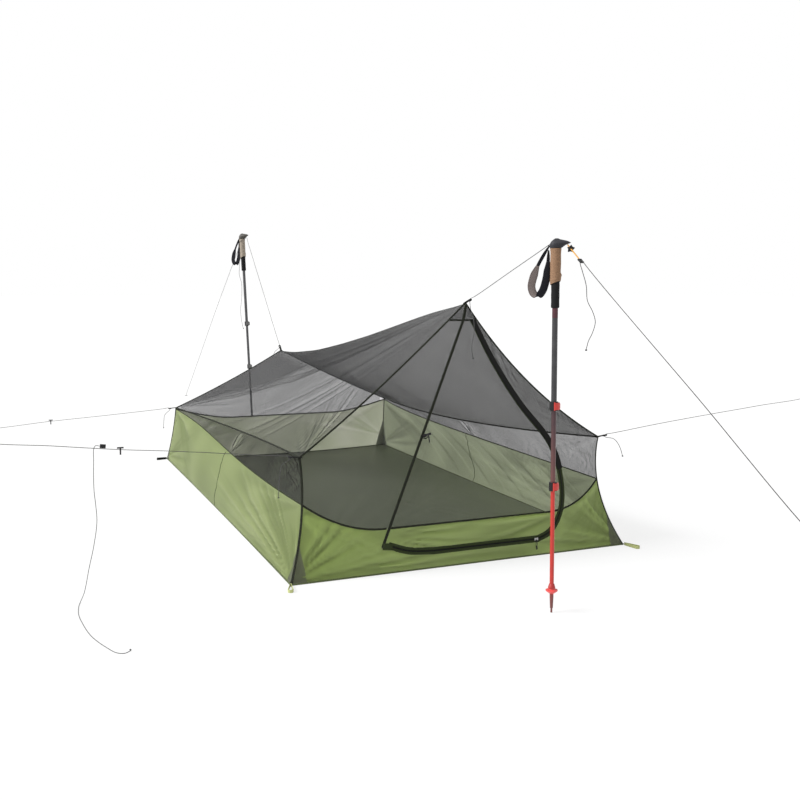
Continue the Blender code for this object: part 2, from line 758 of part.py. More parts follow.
def build_rear():
    foot = SEAM_RADIUS / REAR_CORNER_HEIGHT
    left = flat_points(sampled(lambda t: rear_corner_seam(-1, t), REAR_MEET, foot, 5), 0, 2)
    right = flat_points(sampled(lambda t: rear_corner_seam(1, t), foot, REAR_MEET, 5), 0, 2)
    top = rear_cloth_line()
    bm = bmesh.new()
    add_sheet(bm, [(left, EDGE_MARGIN), ([left[-1], right[0]], EDGE_MARGIN), (right, EDGE_MARGIN),
                   (top, FINE_MARGIN)], rear_point)
    place("wall_rear", bm, material("wall cloth", GREEN, 0.6))

    up_left = flat_points(rear_edge_points(-1)[-2::-1], 0, 2)
    up_right = flat_points(rear_edge_points(1)[:-1], 0, 2)
    lower = top[1:-1]
    bm = bmesh.new()
    add_sheet(bm, [(up_left, EDGE_MARGIN), (up_right, EDGE_MARGIN), ([up_right[-1], lower[0]], 0.0),
                   (lower, FINE_MARGIN), ([lower[-1], up_left[0]], 0.0)], rear_point)
    place("mesh_rear", bm, material("netting", NET, 0.7, alpha=0.6))


def eave_points(side):
    # evenly spaced up to the end of the side net, and then on to the rear corner
    return (sampled(lambda s: eave(side, s), 0.0, SIDE_NET_END, 11)
            + sampled(lambda s: eave(side, s), SIDE_NET_END, 1.0, 3)[1:])


def build_roof():
    front_left = flat_points(sampled(lambda v: front_edge(-1, v), 1.0, 0.0, 11), 0, 1)
    front_right = flat_points(sampled(lambda v: front_edge(1, v), 0.0, 1.0, 11), 0, 1)
    right = flat_points(eave_points(1), 0, 1)
    rear_right = flat_points(reversed(rear_edge_points(1)), 0, 1)
    rear_left = flat_points(rear_edge_points(-1), 0, 1)
    left = flat_points(reversed(eave_points(-1)), 0, 1)
    bm = bmesh.new()
    runs = (front_left, front_right, right, rear_right, rear_left, left)
    add_sheet(bm, [(run, EDGE_MARGIN) for run in runs], roof_point, spacing=ROOF_SPACING)
    place("roof_mesh", bm, material("netting", NET, 0.7, alpha=0.6))


def cloth_line(low, high, count):
    return [Vector((x, front_cloth_top(x))) for x in sampled(lambda s: s, low, high, count)]


def hinge_line(low, high, count=5):
    return [Vector((hinge_x(z), z)) for z in sampled(lambda s: s, low, high, count)]


def zip_crossing():
    # the zip's plan point nearest to where it crosses the top of the cloth
    upper = [index for index, point in enumerate(ZIP_PLAN) if point.x > 0]
    return min(upper, key=lambda index: abs(ZIP_PLAN[index].y - front_cloth_top(ZIP_PLAN[index].x)))


CROSS_INDEX = zip_crossing()
ZIP_OUTER = zip_offset(ZIP_MARGIN)
ZIP_INNER = zip_offset(-ZIP_MARGIN)
HINGE_CROSS_HEIGHT = front_cloth_top(hinge_x(FRONT_CLOTH_HEIGHT))


def front_cloth_left():
    # plan points of the cloth's top seam from the left corner seam to the hinge
    seam = front_corner_seam(-1, FRONT_MEET)
    points = cloth_line(seam.x, hinge_x(HINGE_CROSS_HEIGHT), 8)
    points[0] = Vector((seam.x, seam.z))
    return points


def front_cloth_right():
    # and from the zip to the right corner seam
    seam = front_corner_seam(1, FRONT_MEET)
    points = cloth_line(ZIP_OUTER[CROSS_INDEX].x, seam.x, 7)
    points[0] = ZIP_OUTER[CROSS_INDEX]
    points[-1] = Vector((seam.x, seam.z))
    return points


def build_front():
    netting = material("netting", NET, 0.7, alpha=0.6)
    cloth = material("wall cloth", GREEN, 0.6)
    top_left = front_cloth_left()
    top_right = front_cloth_right()

    left = flat_points(reversed(front_seam_low(-1)), 0, 2)
    right = flat_points(front_seam_low(1), 0, 2)
    hinge_foot = Vector((hinge_x(ZIP_OUTER[-1].y), ZIP_OUTER[-1].y))
    zip_low = ZIP_OUTER[CROSS_INDEX:] + [hinge_foot]
    hinge = [hinge_foot, top_left[-1]]
    bm = bmesh.new()
    add_sheet(bm, [(left, EDGE_MARGIN), ([left[-1], right[0]], EDGE_MARGIN), (right, EDGE_MARGIN),
                   (list(reversed(top_right)), FINE_MARGIN), (zip_low, 0.0), (hinge, HINGE_MARGIN),
                   (list(reversed(top_left)), FINE_MARGIN)], front_point)
    place("wall_front", bm, cloth)

    seam_left = flat_points(front_seam_high(-1), 0, 2)
    edge_left = flat_points(sampled(lambda v: front_edge(-1, v), 1.0, 0.0, 11), 0, 2)
    edge_right = flat_points(sampled(lambda v: front_edge(1, v), 0.0, 1.0, 11), 0, 2)
    seam_right = flat_points(reversed(front_seam_high(1)), 0, 2)
    zip_high = list(reversed(ZIP_OUTER[:CROSS_INDEX + 1]))
    hinge = list(reversed(hinge_line(HINGE_CROSS_HEIGHT, PATCH_BASE_HEIGHT)))
    bm = bmesh.new()
    add_sheet(bm, [(seam_left, EDGE_MARGIN), (edge_left, EDGE_MARGIN), (edge_right, EDGE_MARGIN),
                   (seam_right, EDGE_MARGIN), (list(reversed(top_right)), FINE_MARGIN),
                   (zip_high, 0.0), ([zip_high[-1], hinge[0]], FINE_MARGIN),
                   (hinge, HINGE_MARGIN), (list(reversed(top_left)), FINE_MARGIN)], front_point)
    place("mesh_front", bm, netting)


def door_pivot():
    low = front_point(HINGE_BOTTOM_X, HINGE_BOTTOM_HEIGHT)
    high = front_point(HINGE_TOP_X, PATCH_BASE_HEIGHT)
    return low, high


def build_door():
    pivot, _ = door_pivot()
    hinge = hinge_line(HINGE_CROSS_HEIGHT, PATCH_BASE_HEIGHT)
    zip_high = ZIP_INNER[:CROSS_INDEX + 1]
    top = [hinge[-1], zip_high[0]]
    lower = cloth_line(zip_high[-1].x, hinge[0].x, 9)
    lower[0] = zip_high[-1]
    bm = bmesh.new()
    add_sheet(bm, [(hinge, HINGE_MARGIN), (top, FINE_MARGIN), (zip_high, 0.0), (lower, GAP / 2)],
              front_point)
    place("door_mesh", bm, material("netting", NET, 0.7, alpha=0.6), origin=pivot)

    foot = Vector((hinge_x(ZIP_INNER[-1].y), ZIP_INNER[-1].y))
    hinge = [foot, Vector((hinge_x(HINGE_CROSS_HEIGHT), HINGE_CROSS_HEIGHT))]
    zip_low = ZIP_INNER[CROSS_INDEX:] + [foot]
    upper = cloth_line(hinge[1].x, zip_low[0].x, 9)
    upper[-1] = zip_low[0]
    bm = bmesh.new()
    add_sheet(bm, [(hinge, HINGE_MARGIN), (upper, GAP / 2), (zip_low, 0.0)], front_point)
    place("door_skirt", bm, material("wall cloth", GREEN, 0.6), origin=pivot)


def build_zip():
    finish = material("zip tape", BINDING, 0.7)
    for name, sign in (("zip_tape_frame", 1), ("zip_tape_door", -1)):
        bm = bmesh.new()
        section = tape_section(sign)
        add_zip_tape(bm, section)
        origin = door_pivot()[0] if sign < 0 else (0.0, 0.0, 0.0)
        place(name, bm, finish, origin=origin)

    # the slider straddles both coils; its section is (height up the wall, depth in front of it)
    tape_face = TAPE_THICKNESS / 2 + GAP
    coil_face = TAPE_THICKNESS / 2 + COIL_HEIGHT + GAP
    inner = GAP / 2 + COIL_WIDTH + GAP
    outer = inner + SLIDER_WALL
    top = coil_face + SLIDER_WALL
    section = [(-outer, tape_face), (-outer, top), (outer, top), (outer, tape_face),
               (inner, tape_face), (inner, coil_face), (-inner, coil_face), (-inner, tape_face)]
    bm = bmesh.new()
    rings = []
    for x in (SLIDER_X - SLIDER_LENGTH / 2, SLIDER_X + SLIDER_LENGTH / 2):
        ring = []
        for height, depth in section:
            here = front_point(x, ZIP_BOTTOM_HEIGHT + height)
            ring.append(bm.verts.new(here + Vector((0.0, -depth, 0.0))))
        rings.append(ring)
    for i in range(len(section)):
        j = (i + 1) % len(section)
        bm.faces.new([rings[0][i], rings[0][j], rings[1][j], rings[1][i]])
    for ring in rings:
        bm.faces.new([ring[0], ring[1], ring[6], ring[7]])
        bm.faces.new([ring[1], ring[2], ring[5], ring[6]])
        bm.faces.new([ring[2], ring[3], ring[4], ring[5]])
    wall = front_point(SLIDER_X, ZIP_BOTTOM_HEIGHT)
    place("zip_slider", bm, material("zip metal", (0.05, 0.05, 0.05), 0.4, 0.6),
          origin=wall + Vector((0.0, -top, 0.0)))

    # the pull hangs straight down from the slider's face, clear of the wall that leans away above it
    lean = wall.y - front_point(SLIDER_X, ZIP_BOTTOM_HEIGHT - outer).y
    pin = wall + Vector((0.0, -(top + lean + GAP + PULL_THICKNESS / 2), 0.0))
    bm = bmesh.new()
    add_block(bm, (PULL_WIDTH, PULL_THICKNESS, PULL_LENGTH),
              Matrix.Translation(pin + Vector((0.0, 0.0, -PULL_LENGTH / 2))))
    place("zip_pull", bm, material("zip pull", WEBBING, 0.7), origin=pin)


def unite(name, bm, finish):
    # joins the overlapping closed shapes in bm into one solid, with a Boolean union
    origin = sorted((v.co.copy() for v in bm.verts), key=lambda p: p.z)[0]
    made = place(name, bm, finish)
    core = bmesh.new()
    bmesh.ops.create_icosphere(core, subdivisions=1, radius=SEAM_RADIUS * 0.5,
                               matrix=Matrix.Translation(origin + Vector((0.0, 0.0, SEAM_RADIUS))))
    seed = place(name + "_seed", core, finish)
    seed.hide_render = True
    seed.display_type = "WIRE"
    union = made.modifiers.new("union", "BOOLEAN")
    union.operation = "UNION"
    union.object = seed
    union.use_self = True
    return made


# Directions in which each tab pulls: the four upper corners and the two peaks
FRONT_PULL = Vector((1.0, 0.045, 0.115))
REAR_PULL = Vector((1.0, 0.020, -0.065))
FRONT_PEAK_GOAL = Vector((0.0, -1.506, 1.006))
REAR_PEAK_GOAL = Vector((0.014, 1.762, 1.103))


def guy_frame(place_name):
    # a frame at a tab's root whose X runs out along its pull
    if place_name == "front_peak":
        return aim(FRONT_PEAK, FRONT_PEAK_GOAL - FRONT_PEAK)
    if place_name == "rear_peak":
        return aim(REAR_PEAK, REAR_PEAK_GOAL - REAR_PEAK)
    end, word = place_name.split("_")
    side = -1 if word == "left" else 1
    corner = FRONT_CORNER if end == "front" else REAR_CORNER
    pull = FRONT_PULL if end == "front" else REAR_PULL
    return aim((side * corner.x, corner.y, corner.z), (side * pull.x, pull.y, pull.z))


GUY_POINTS = ("front_left", "front_right", "rear_left", "rear_right", "front_peak", "rear_peak")
LOCK_MIDDLE = TAB_LENGTH - LOCK_RAIL / 2 + LOCK_LENGTH / 2


def add_window(bm, frame, middle, length, width, thickness, rail):
    # a flat rectangular ring in the frame's XY plane
    half_x = (length - rail) / 2
    half_y = (width - rail) / 2
    frames = []
    for x, y in ((-1, -1), (1, -1), (1, 1), (-1, 1)):
        spot = frame @ Vector((middle + x * half_x, y * half_y, 0.0))
        out = frame.to_3x3() @ Vector((x, y, 0.0))
        frames.append((spot, out, frame.to_3x3() @ Vector((0.0, 0.0, 1.0))))
    add_sweep(bm, frames, box_section(rail, thickness), closed=True)


def build_seams():
    # tubes that meet at the corners, with a small knob there, and the tabs and locks sewn in
    bm = bmesh.new()
    knobs = []
    lift = Vector((0.0, 0.0, SEAM_RADIUS))
    knob_lift = Vector((0.0, 0.0, KNOB_RADIUS))
    for side in (-1, 1):
        for seam, run in ((front_corner_seam, front_seam_low(side)[1:] + front_seam_high(side)[1:]),
                          (rear_corner_seam, sampled(lambda t: rear_corner_seam(side, t), 0.1, 1.0, 6))):
            add_tube(bm, [seam(side, 0.0) + lift] + run, SEAM_RADIUS, up=(1.0, 0.0, 0.0))
            knobs += [seam(side, 0.0) + knob_lift, seam(side, 1.0)]
        add_tube(bm, eave_points(side), SEAM_RADIUS)
        add_tube(bm, sampled(lambda v: front_edge(side, v), 0.0, 1.0, 11), SEAM_RADIUS)
        add_tube(bm, rear_edge_points(side), SEAM_RADIUS)
        add_tube(bm, sampled(lambda s: side_cloth_point(side, s), 0.0, SIDE_NET_END, 11), FINE_SEAM_RADIUS)
        add_tube(bm, sampled(lambda s: floor_side(side, s) + lift, 0.0, 1.0, 9), SEAM_RADIUS)
    knobs += [FRONT_PEAK, REAR_PEAK]
    front = [Vector((x, FRONT_Y, SEAM_RADIUS)) for x in (-FLOOR_WIDTH_FRONT / 2, 0.0, FLOOR_WIDTH_FRONT / 2)]
    add_tube(bm, front, SEAM_RADIUS)
    half = FLOOR_WIDTH_REAR / 2
    rear = [Vector((x, rear_point(x, 0.0).y, SEAM_RADIUS)) for x in sampled(lambda s: s, half, -half, 11)]
    add_tube(bm, rear, SEAM_RADIUS)
    left_top = [front_point(p.x, p.y) for p in front_cloth_left()]
    add_tube(bm, trimmed(left_top, 0.0, HINGE_MARGIN + FINE_SEAM_RADIUS), FINE_SEAM_RADIUS)
    right_top = [front_point(p.x, p.y) for p in front_cloth_right()]
    add_tube(bm, trimmed(right_top, FINE_MARGIN, 0.0), FINE_SEAM_RADIUS)
    add_tube(bm, [rear_point(p.x, p.y) for p in rear_cloth_line()], FINE_SEAM_RADIUS)
    for knob in knobs:
        bmesh.ops.create_icosphere(bm, subdivisions=1, radius=KNOB_RADIUS, matrix=Matrix.Translation(knob))
    for name in GUY_POINTS:
        frame = guy_frame(name)
        middle = frame @ Matrix.Translation((TAB_LENGTH / 2, 0.0, 0.0))
        add_block(bm, (TAB_LENGTH, TAB_WIDTH, TAB_THICKNESS), middle)
        add_window(bm, frame, LOCK_MIDDLE, LOCK_LENGTH, LOCK_WIDTH, LOCK_THICKNESS, LOCK_RAIL)
    unite("seam_bindings", bm, material("binding", BINDING, 0.8))

    # the hinge seam with the toggle that is sewn on it
    pivot, top = door_pivot()
    bm = bmesh.new()
    add_tube(bm, trimmed([pivot, top], 0.0, HINGE_SEAM_RADIUS), HINGE_SEAM_RADIUS, up=(0.0, 1.0, 0.0))
    seam = pivot.lerp(top, (TOGGLE_HEIGHT - pivot.z) / (top.z - pivot.z))
    start = seam + Vector((0.0, -(TOGGLE_RADIUS + SHEET + GAP), 0.0))
    end = start + Vector((TOGGLE_LENGTH, -SHEET, -TOGGLE_LENGTH * 0.35))
    add_tube(bm, [start, start.lerp(end, 0.5), end], TOGGLE_RADIUS, count=8)
    unite("hinge_seam", bm, material("binding", BINDING, 0.8))


def build_stake_loops():
    places = {}
    for side, word in ((-1, "left"), (1, "right")):
        front = Vector((side * FLOOR_WIDTH_FRONT / 2, FRONT_Y, 0.0))
        rear = Vector((side * FLOOR_WIDTH_REAR / 2, REAR_Y, 0.0))
        places["stake_loop_front_" + word] = (front, (side * 0.32, -1.0, 0.0))
        places["stake_loop_rear_" + word] = (rear, (side * 1.0, -0.12, 0.0))
    narrow = STAKE_LOOP_SPREAD / 2
    root = KNOB_RADIUS + GAP + STAKE_LOOP_THICKNESS / 2
    tip = root + STAKE_LOOP_LENGTH - narrow
    shape = [(root, 0.0)]
    for step in range(9):
        angle = -math.pi / 2 + math.pi * step / 8
        shape.append((tip + narrow * math.cos(angle), narrow * math.sin(angle)))
    for name, (corner, pull) in places.items():
        frame = aim(corner, pull)
        frames = []
        for index, (x, y) in enumerate(shape):
            ahead = Vector(shape[(index + 1) % len(shape)]) - Vector(shape[index - 1])
            out = Vector((ahead.y, -ahead.x, 0.0)).normalized()
            spot = frame @ Vector((x, y, STAKE_LOOP_WIDTH / 2))
            frames.append((spot, frame.to_3x3() @ out, Vector((0.0, 0.0, 1.0))))
        bm = bmesh.new()
        add_sweep(bm, frames, box_section(STAKE_LOOP_THICKNESS, STAKE_LOOP_WIDTH), closed=True)
        place(name, bm, material("stake webbing", (0.45, 0.5, 0.2), 0.8), origin=corner)


# Trekking poles, each in the frame of an empty at its tip with Z up the pole

def pole_frame(name, sizes):
    frame = bpy.data.objects.new(name + "_frame", None)
    bpy.context.collection.objects.link(frame)
    frame.location = sizes["foot"]
    frame.rotation_mode = "ZYX"
    frame.rotation_euler = (-sizes["lean"], 0.0, sizes["turn"])
    return frame


def add_tube_wall(bm, outer, inner, low, high):
    add_turned(bm, [(outer, low), (outer, high), (inner, high), (inner, low)])


# Rings of a head from its flat seat to its crown: shares of its height, back, beak and half width
HEAD_RINGS = ((0.0, 0.97, 0.36, 0.95), (0.30, 1.0, 0.62, 1.0), (0.52, 1.0, 1.0, 0.98),
              (0.74, 0.9, 0.93, 0.86), (0.92, 0.6, 0.55, 0.58))
HEAD_NARROWING = 0.45


def head_point(sizes, up, angle):
    # on the head's surface, at a share of its height and an angle round from the beak
    below, above = [(p, q) for p, q in zip(HEAD_RINGS, HEAD_RINGS[1:]) if up <= q[0]][0]
    part = (up - below[0]) / (above[0] - below[0])
    back_share, beak_share, wide_share = [lerp(p, q, part) for p, q in zip(below[1:], above[1:])]
    back = sizes["cork_radius"] + HEAD_OVERHANG
    ahead = math.cos(angle)
    x = ahead * (sizes["head_reach"] * beak_share if ahead > 0 else back * back_share)
    y = math.sin(angle) * back * wide_share * (1.0 - HEAD_NARROWING * max(0.0, ahead))
    return Vector((x, y, GAP + up * (sizes["head_height"] - GAP)))


def build_head(name, sizes, frame, finish):
    neck = sizes["length"] - sizes["head_height"]
    height = sizes["head_height"]
    bm = bmesh.new()
    rings = []
    for share in HEAD_RINGS:
        ring = [head_point(sizes, share[0], 2 * math.pi * i / ROUND) for i in range(ROUND)]
        rings.append([bm.verts.new(point) for point in ring])
    for ring, following in zip(rings, rings[1:]):
        for i in range(ROUND):
            j = (i + 1) % ROUND
            bm.faces.new([ring[i], ring[j], following[j], following[i]])
    bm.faces.new(list(reversed(rings[0])))
    crown = bm.verts.new((0.0, 0.0, height))
    for i in range(ROUND):
        bm.faces.new([rings[-1][i], rings[-1][(i + 1) % ROUND], crown])
    place(name + "_head", bm, finish, origin=(0.0, 0.0, neck), parent=frame, local=True)


def strap_path(sizes):
    # the loop hangs from the pin in the back of the head, down beside the grip and back up
    shape = [(0.00, 0.0), (0.12, -0.16), (0.28, -0.40), (0.385, -0.66), (0.41, -0.82), (0.35, -0.95),
             (0.24, -1.0), (0.14, -0.90), (0.07, -0.72), (0.034, -0.50), (0.025, -0.28), (0.025, -0.13)]
    return [Vector((-x * sizes["strap"], 0.0, z * sizes["strap"])) for x, z in shape]


def build_strap(name, sizes, frame):
    back = sizes["cork_radius"] + HEAD_OVERHANG
    pin = Vector((-(back + GAP + STRAP_THICKNESS / 2), 0.0,
                  sizes["length"] - sizes["head_height"] + STRAP_PIN_HEIGHT))
    points = strap_path(sizes)
    bm = bmesh.new()
    count = len(points)
    rings = []
    for index, point in enumerate(points):
        ahead = points[min(index + 1, count - 1)] - points[max(index - 1, 0)]
        out = Vector((-ahead.z, 0.0, ahead.x)).normalized()
        wide = STRAP_WIDTH * lerp(0.55, 1.0, hump(index / (count - 1)))
        rings.append([bm.verts.new(point + Vector((0.0, a, 0.0)) + out * b)
                      for a, b in box_section(wide, STRAP_THICKNESS)])
    for ring, following in zip(rings, rings[1:]):
        for i in range(4):
            j = (i + 1) % 4
            bm.faces.new([ring[i], ring[j], following[j], following[i]])
    bm.faces.new(list(reversed(rings[0])))
    bm.faces.new(rings[-1])
    place(name + "_wrist_strap", bm, material("strap", (0.02, 0.02, 0.022), 0.8),
          origin=pin, parent=frame, local=True)


def build_clamp(name, word, frame, height, shaft_radius, lever_colour):
    # the collar grips the outer shaft's end; the lever wraps it and opens about an upright pin
    bore = shaft_radius + GAP
    outer = bore + CLAMP_WALL
    bm = bmesh.new()
    low = -CLAMP_LENGTH / 2
    add_tube_wall(bm, outer, bore, low, -low)
    place(name + "_" + word + "_clamp", bm, material("clamp plastic", (0.02, 0.02, 0.02), 0.5),
          origin=(0.0, 0.0, height), parent=frame, local=True)
    inner = outer + 2 * GAP
    far = inner + LEVER_THICKNESS
    start = math.radians(-60)
    middle = (inner + far) / 2
    pin = Vector((middle * math.cos(start), middle * math.sin(start), 0.0))
    bm = bmesh.new()
    frames = []
    for step in range(8):
        angle = start + LEVER_ARC * step / 7
        out = Vector((math.cos(angle), math.sin(angle), 0.0))
        frames.append((out * middle - pin, out, Vector((0.0, 0.0, 1.0))))
    add_sweep(bm, frames, box_section(LEVER_THICKNESS, LEVER_LENGTH))
    place(name + "_" + word + "_lever", bm, material(name + " lever", lever_colour, 0.4),
          origin=pin + Vector((0.0, 0.0, height)), parent=frame, local=True)


# Shares of the cork's height and of its radius there
CORK_SHAPE = ((0.0, 0.92), (0.10, 1.0), (0.25, 0.90), (0.55, 0.96), (0.85, 0.93), (1.0, 1.0))
FOAM_CHAMFER = 0.001


def cork_radius_at(sizes, share):
    low, high = [(p, q) for p, q in zip(CORK_SHAPE, CORK_SHAPE[1:]) if share <= q[0]][0]
    return sizes["cork_radius"] * lerp(low[1], high[1], (share - low[0]) / (high[0] - low[0]))


def build_pole(name, sizes):
    frame = pole_frame(name, sizes)
    colours = sizes["colours"]
    rubber = material("grip rubber", (0.02, 0.02, 0.02), 0.7)
    neck = sizes["length"] - sizes["head_height"]
    cork_foot = neck - sizes["cork_length"]
    foam_foot = cork_foot - sizes["foam_length"]
    build_head(name, sizes, frame, rubber)
    build_strap(name, sizes, frame)

    bore = UPPER_SHAFT_RADIUS + GAP
    foam = sizes["foam_radius"]
    cork_low = cork_foot - foam_foot
    cork = [(cork_radius_at(sizes, share), cork_low + share * (sizes["cork_length"] - GAP))
            for share, _ in CORK_SHAPE]
    bm = bmesh.new()
    add_turned(bm, [(bore, 0.0), (foam - FOAM_CHAMFER, 0.0), (foam, 2 * FOAM_CHAMFER), (foam, cork_low)]
               + cork + [(bore, cork[-1][1])])
    place(name + "_grip", bm, material("cork", (0.30, 0.17, 0.09), 0.8),
          origin=(0.0, 0.0, foam_foot), parent=frame, local=True)

    upper_end = sizes["upper_lock"] - CLAMP_LENGTH / 2
    lower_end = sizes["lower_lock"] - CLAMP_LENGTH / 2
    bm = bmesh.new()
    add_tube_wall(bm, UPPER_SHAFT_RADIUS, UPPER_SHAFT_RADIUS - SHAFT_WALL, 0.0, neck - GAP - upper_end)
    place(name + "_upper_shaft", bm, material(name + " shaft", colours["shaft"], 0.35, 0.3),
          origin=(0.0, 0.0, upper_end), parent=frame, local=True)
    bm = bmesh.new()
    middle_top = sizes["upper_lock"] + SHAFT_OVERLAP
    add_tube_wall(bm, MIDDLE_SHAFT_RADIUS, MIDDLE_SHAFT_RADIUS - SHAFT_WALL, 0.0, middle_top - lower_end)
    place(name + "_middle_shaft", bm, material(name + " middle", colours["middle"], 0.35, 0.3),
          origin=(0.0, 0.0, lower_end), parent=frame, local=True)
    bm = bmesh.new()
    ferrule_top = BASKET_BOTTOM + BASKET_HEIGHT
    lower_top = sizes["lower_lock"] + SHAFT_OVERLAP
    add_turned(bm, [(0.0, 0.0), (TIP_RADIUS, 0.0), (TIP_RADIUS, TIP_LENGTH),
                    (FERRULE_RADIUS * 0.75, TIP_LENGTH + 0.001), (FERRULE_RADIUS, BASKET_BOTTOM - 0.01),
                    (FERRULE_RADIUS, ferrule_top + GAP), (LOWER_SHAFT_RADIUS, ferrule_top + GAP),
                    (LOWER_SHAFT_RADIUS, lower_top), (0.0, lower_top)])
    place(name + "_lower_shaft", bm, material(name + " lower", colours["lower"], 0.35, 0.3),
          parent=frame, local=True)

    build_clamp(name, "upper", frame, sizes["upper_lock"], UPPER_SHAFT_RADIUS, colours["lever"])
    build_clamp(name, "lower", frame, sizes["lower_lock"], MIDDLE_SHAFT_RADIUS, colours["lever"])

    hub = FERRULE_RADIUS + GAP
    bm = bmesh.new()
    add_turned(bm, [(hub, 0.0), (hub + 0.002, 0.0), (BASKET_RADIUS, BASKET_HEIGHT * 0.45),
                    (BASKET_RADIUS, BASKET_HEIGHT * 0.62), (hub + 0.003, BASKET_HEIGHT * 0.70),
                    (hub + 0.002, BASKET_HEIGHT), (hub, BASKET_HEIGHT)])
    place(name + "_basket", bm, material(name + " basket", colours["basket"], 0.5),
          origin=(0.0, 0.0, BASKET_BOTTOM), parent=frame, local=True)


# Where the lines seat on the poles
BEAK_DEGREES = -53.5
HEAD_LOOP_SHARE = 0.385
PEAK_LINE_SHARE = 0.66
REAR_LINE_DROP = 0.006
# the rear peak line's turn round the cork: distance off it, bearing in degrees and drop below the neck
REAR_WRAP = ((0.0146, BEAK_DEGREES, -0.005), (0.0036, -78, 0.004), (0.0003, -110, 0.009),
             (0.0, -145, 0.014), (0.001, -178, 0.022))


def axis_point(name, height, x=0.0, y=0.0):
    # a world point beside a pole: so far up it, and x and y out from its axis
    sizes = POLES[name]
    frame = Matrix.Translation(sizes["foot"]) @ Matrix.Rotation(-sizes["lean"], 4, "X")
    return frame @ Vector((x, y, height))


def neck_height(name):
    return POLES[name]["length"] - POLES[name]["head_height"]


# Guylines and tails. Each route is a list of chosen points in world metres.
def lock_route(name):
    # down through a line lock from its outer rail
    frame = guy_frame(name)
    rail = LOCK_MIDDLE + (LOCK_LENGTH - LOCK_RAIL) / 2
    local = [(rail + 0.030, 0.0020), (rail, LOCK_OVER), (LOCK_MIDDLE + 0.0026, 0.0028),
             (LOCK_MIDDLE + 0.0003, 0.0), (LOCK_MIDDLE, -0.0055)]
    return [frame @ Vector((x, 0.0, z)) for x, z in local]


def eye(end, ahead, across):
    # a round eye at the outer end of a line, which comes back beside its start
    ahead = Vector(ahead).normalized()
    across = (Vector(across) - ahead * Vector(across).dot(ahead)).normalized()
    aside = ahead.cross(across)
    centre = Vector(end) + ahead * EYE_RADIUS
    points = []
    for step in range(1, 12):
        angle = math.pi - 2 * math.pi * step / 12
        points.append(centre + (ahead * math.cos(angle) + across * math.sin(angle)) * EYE_RADIUS
                      + aside * EYE_CLEARANCE * (step / 12) ** 2)
    return points


UP = Vector((0.0, 0.0, 1.0))
# tails that hang below the line locks
TAIL_FRONT_LEFT = [(-0.605, -0.978, 0.353), (-0.612, -0.982, 0.325), (-0.616, -0.984, 0.290),
                   (-0.618, -0.985, 0.255)]
TAIL_FRONT_RIGHT = [(0.610, -0.978, 0.362), (0.628, -0.980, 0.345), (0.640, -0.982, 0.322),
                    (0.648, -0.983, 0.298)]
TAIL_REAR_LEFT = [(-0.606, 0.981, 0.236), (-0.611, 0.982, 0.210), (-0.613, 0.983, 0.172)]
TAIL_FRONT_PEAK = [(0.004, -1.030, 0.826), (0.014, -1.034, 0.790), (0.015, -1.036, 0.745),
                   (0.008, -1.037, 0.715), (0.008, -1.038, 0.690), (0.013, -1.038, 0.668)]
TAIL_REAR_PEAK = [(-0.012, 1.062, 0.535), (-0.026, 1.068, 0.522), (-0.034, 1.070, 0.495)]
TAIL_ADJUSTER = [(0.003, -1.648, 0.947), (0.014, -1.652, 0.909), (0.017, -1.655, 0.871),
                 (0.035, -1.655, 0.841), (0.044, -1.655, 0.815), (0.036, -1.655, 0.786),
                 (0.025, -1.655, 0.766), (0.018, -1.655, 0.742)]
TAIL_REAR_POLE = [(-0.022, 1.783, 1.000), (-0.0225, 1.783, 0.951), (-0.0235, 1.783, 0.911),
                  (-0.011, 1.783, 0.863), (-0.011, 1.783, 0.782), (-0.018, 1.783, 0.709),
                  (-0.013, 1.783, 0.645), (-0.003, 1.783, 0.600)]

# the lines from the tails' locks and adjuster out to their eyes
LINE_FRONT = [(0.0, -1.7600, 0.8990), (0.0, -2.1000, 0.6815), (0.0, -2.4640, 0.4490)]
LINE_REAR = [(0.0, 2.5145, 0.6620), (0.0, 2.9927, 0.3440), (0.0, 3.30, 0.140), (0.0, 3.494, 0.0012)]
LINE_FRONT_LEFT = [(-0.9403, -0.955, 0.4150), (-1.0758, -0.950, 0.4270), (-1.2600, -0.942, 0.4480),
                   (-1.4220, -0.935, 0.4670)]
LINE_FRONT_RIGHT = [(0.80, -0.964, 0.4010), (1.0091, -0.957, 0.4200), (1.30, -0.943, 0.4430),
                    (1.5500, -0.929, 0.4640)]
LINE_REAR_LEFT = [(-0.8637, 0.985, 0.2475), (-1.1311, 0.991, 0.2301), (-1.3934, 0.996, 0.2122)]
LONG_TAIL = [(-1.1440, -0.9510, 0.4430), (-1.1490, -0.9545, 0.4340), (-1.150, -0.953, 0.400),
             (-1.1515, -0.952, 0.355), (-1.151, -0.950, 0.310), (-1.148, -0.950, 0.273),
             (-1.146, -0.950, 0.222), (-1.157, -0.950, 0.150), (-1.171, -0.950, 0.090),
             (-1.187, -0.955, 0.020), (-1.203, -0.990, 0.0012), (-1.216, -1.078, 0.0012),
             (-1.214, -1.159, 0.0012), (-1.202, -1.268, 0.0012), (-1.175, -1.362, 0.0012),
             (-1.156, -1.405, 0.0012), (-1.140, -1.414, 0.0012), (-1.124, -1.402, 0.0012)]
ADJUSTER_MIDDLE = Vector((0.0, -1.6440, 0.9725))


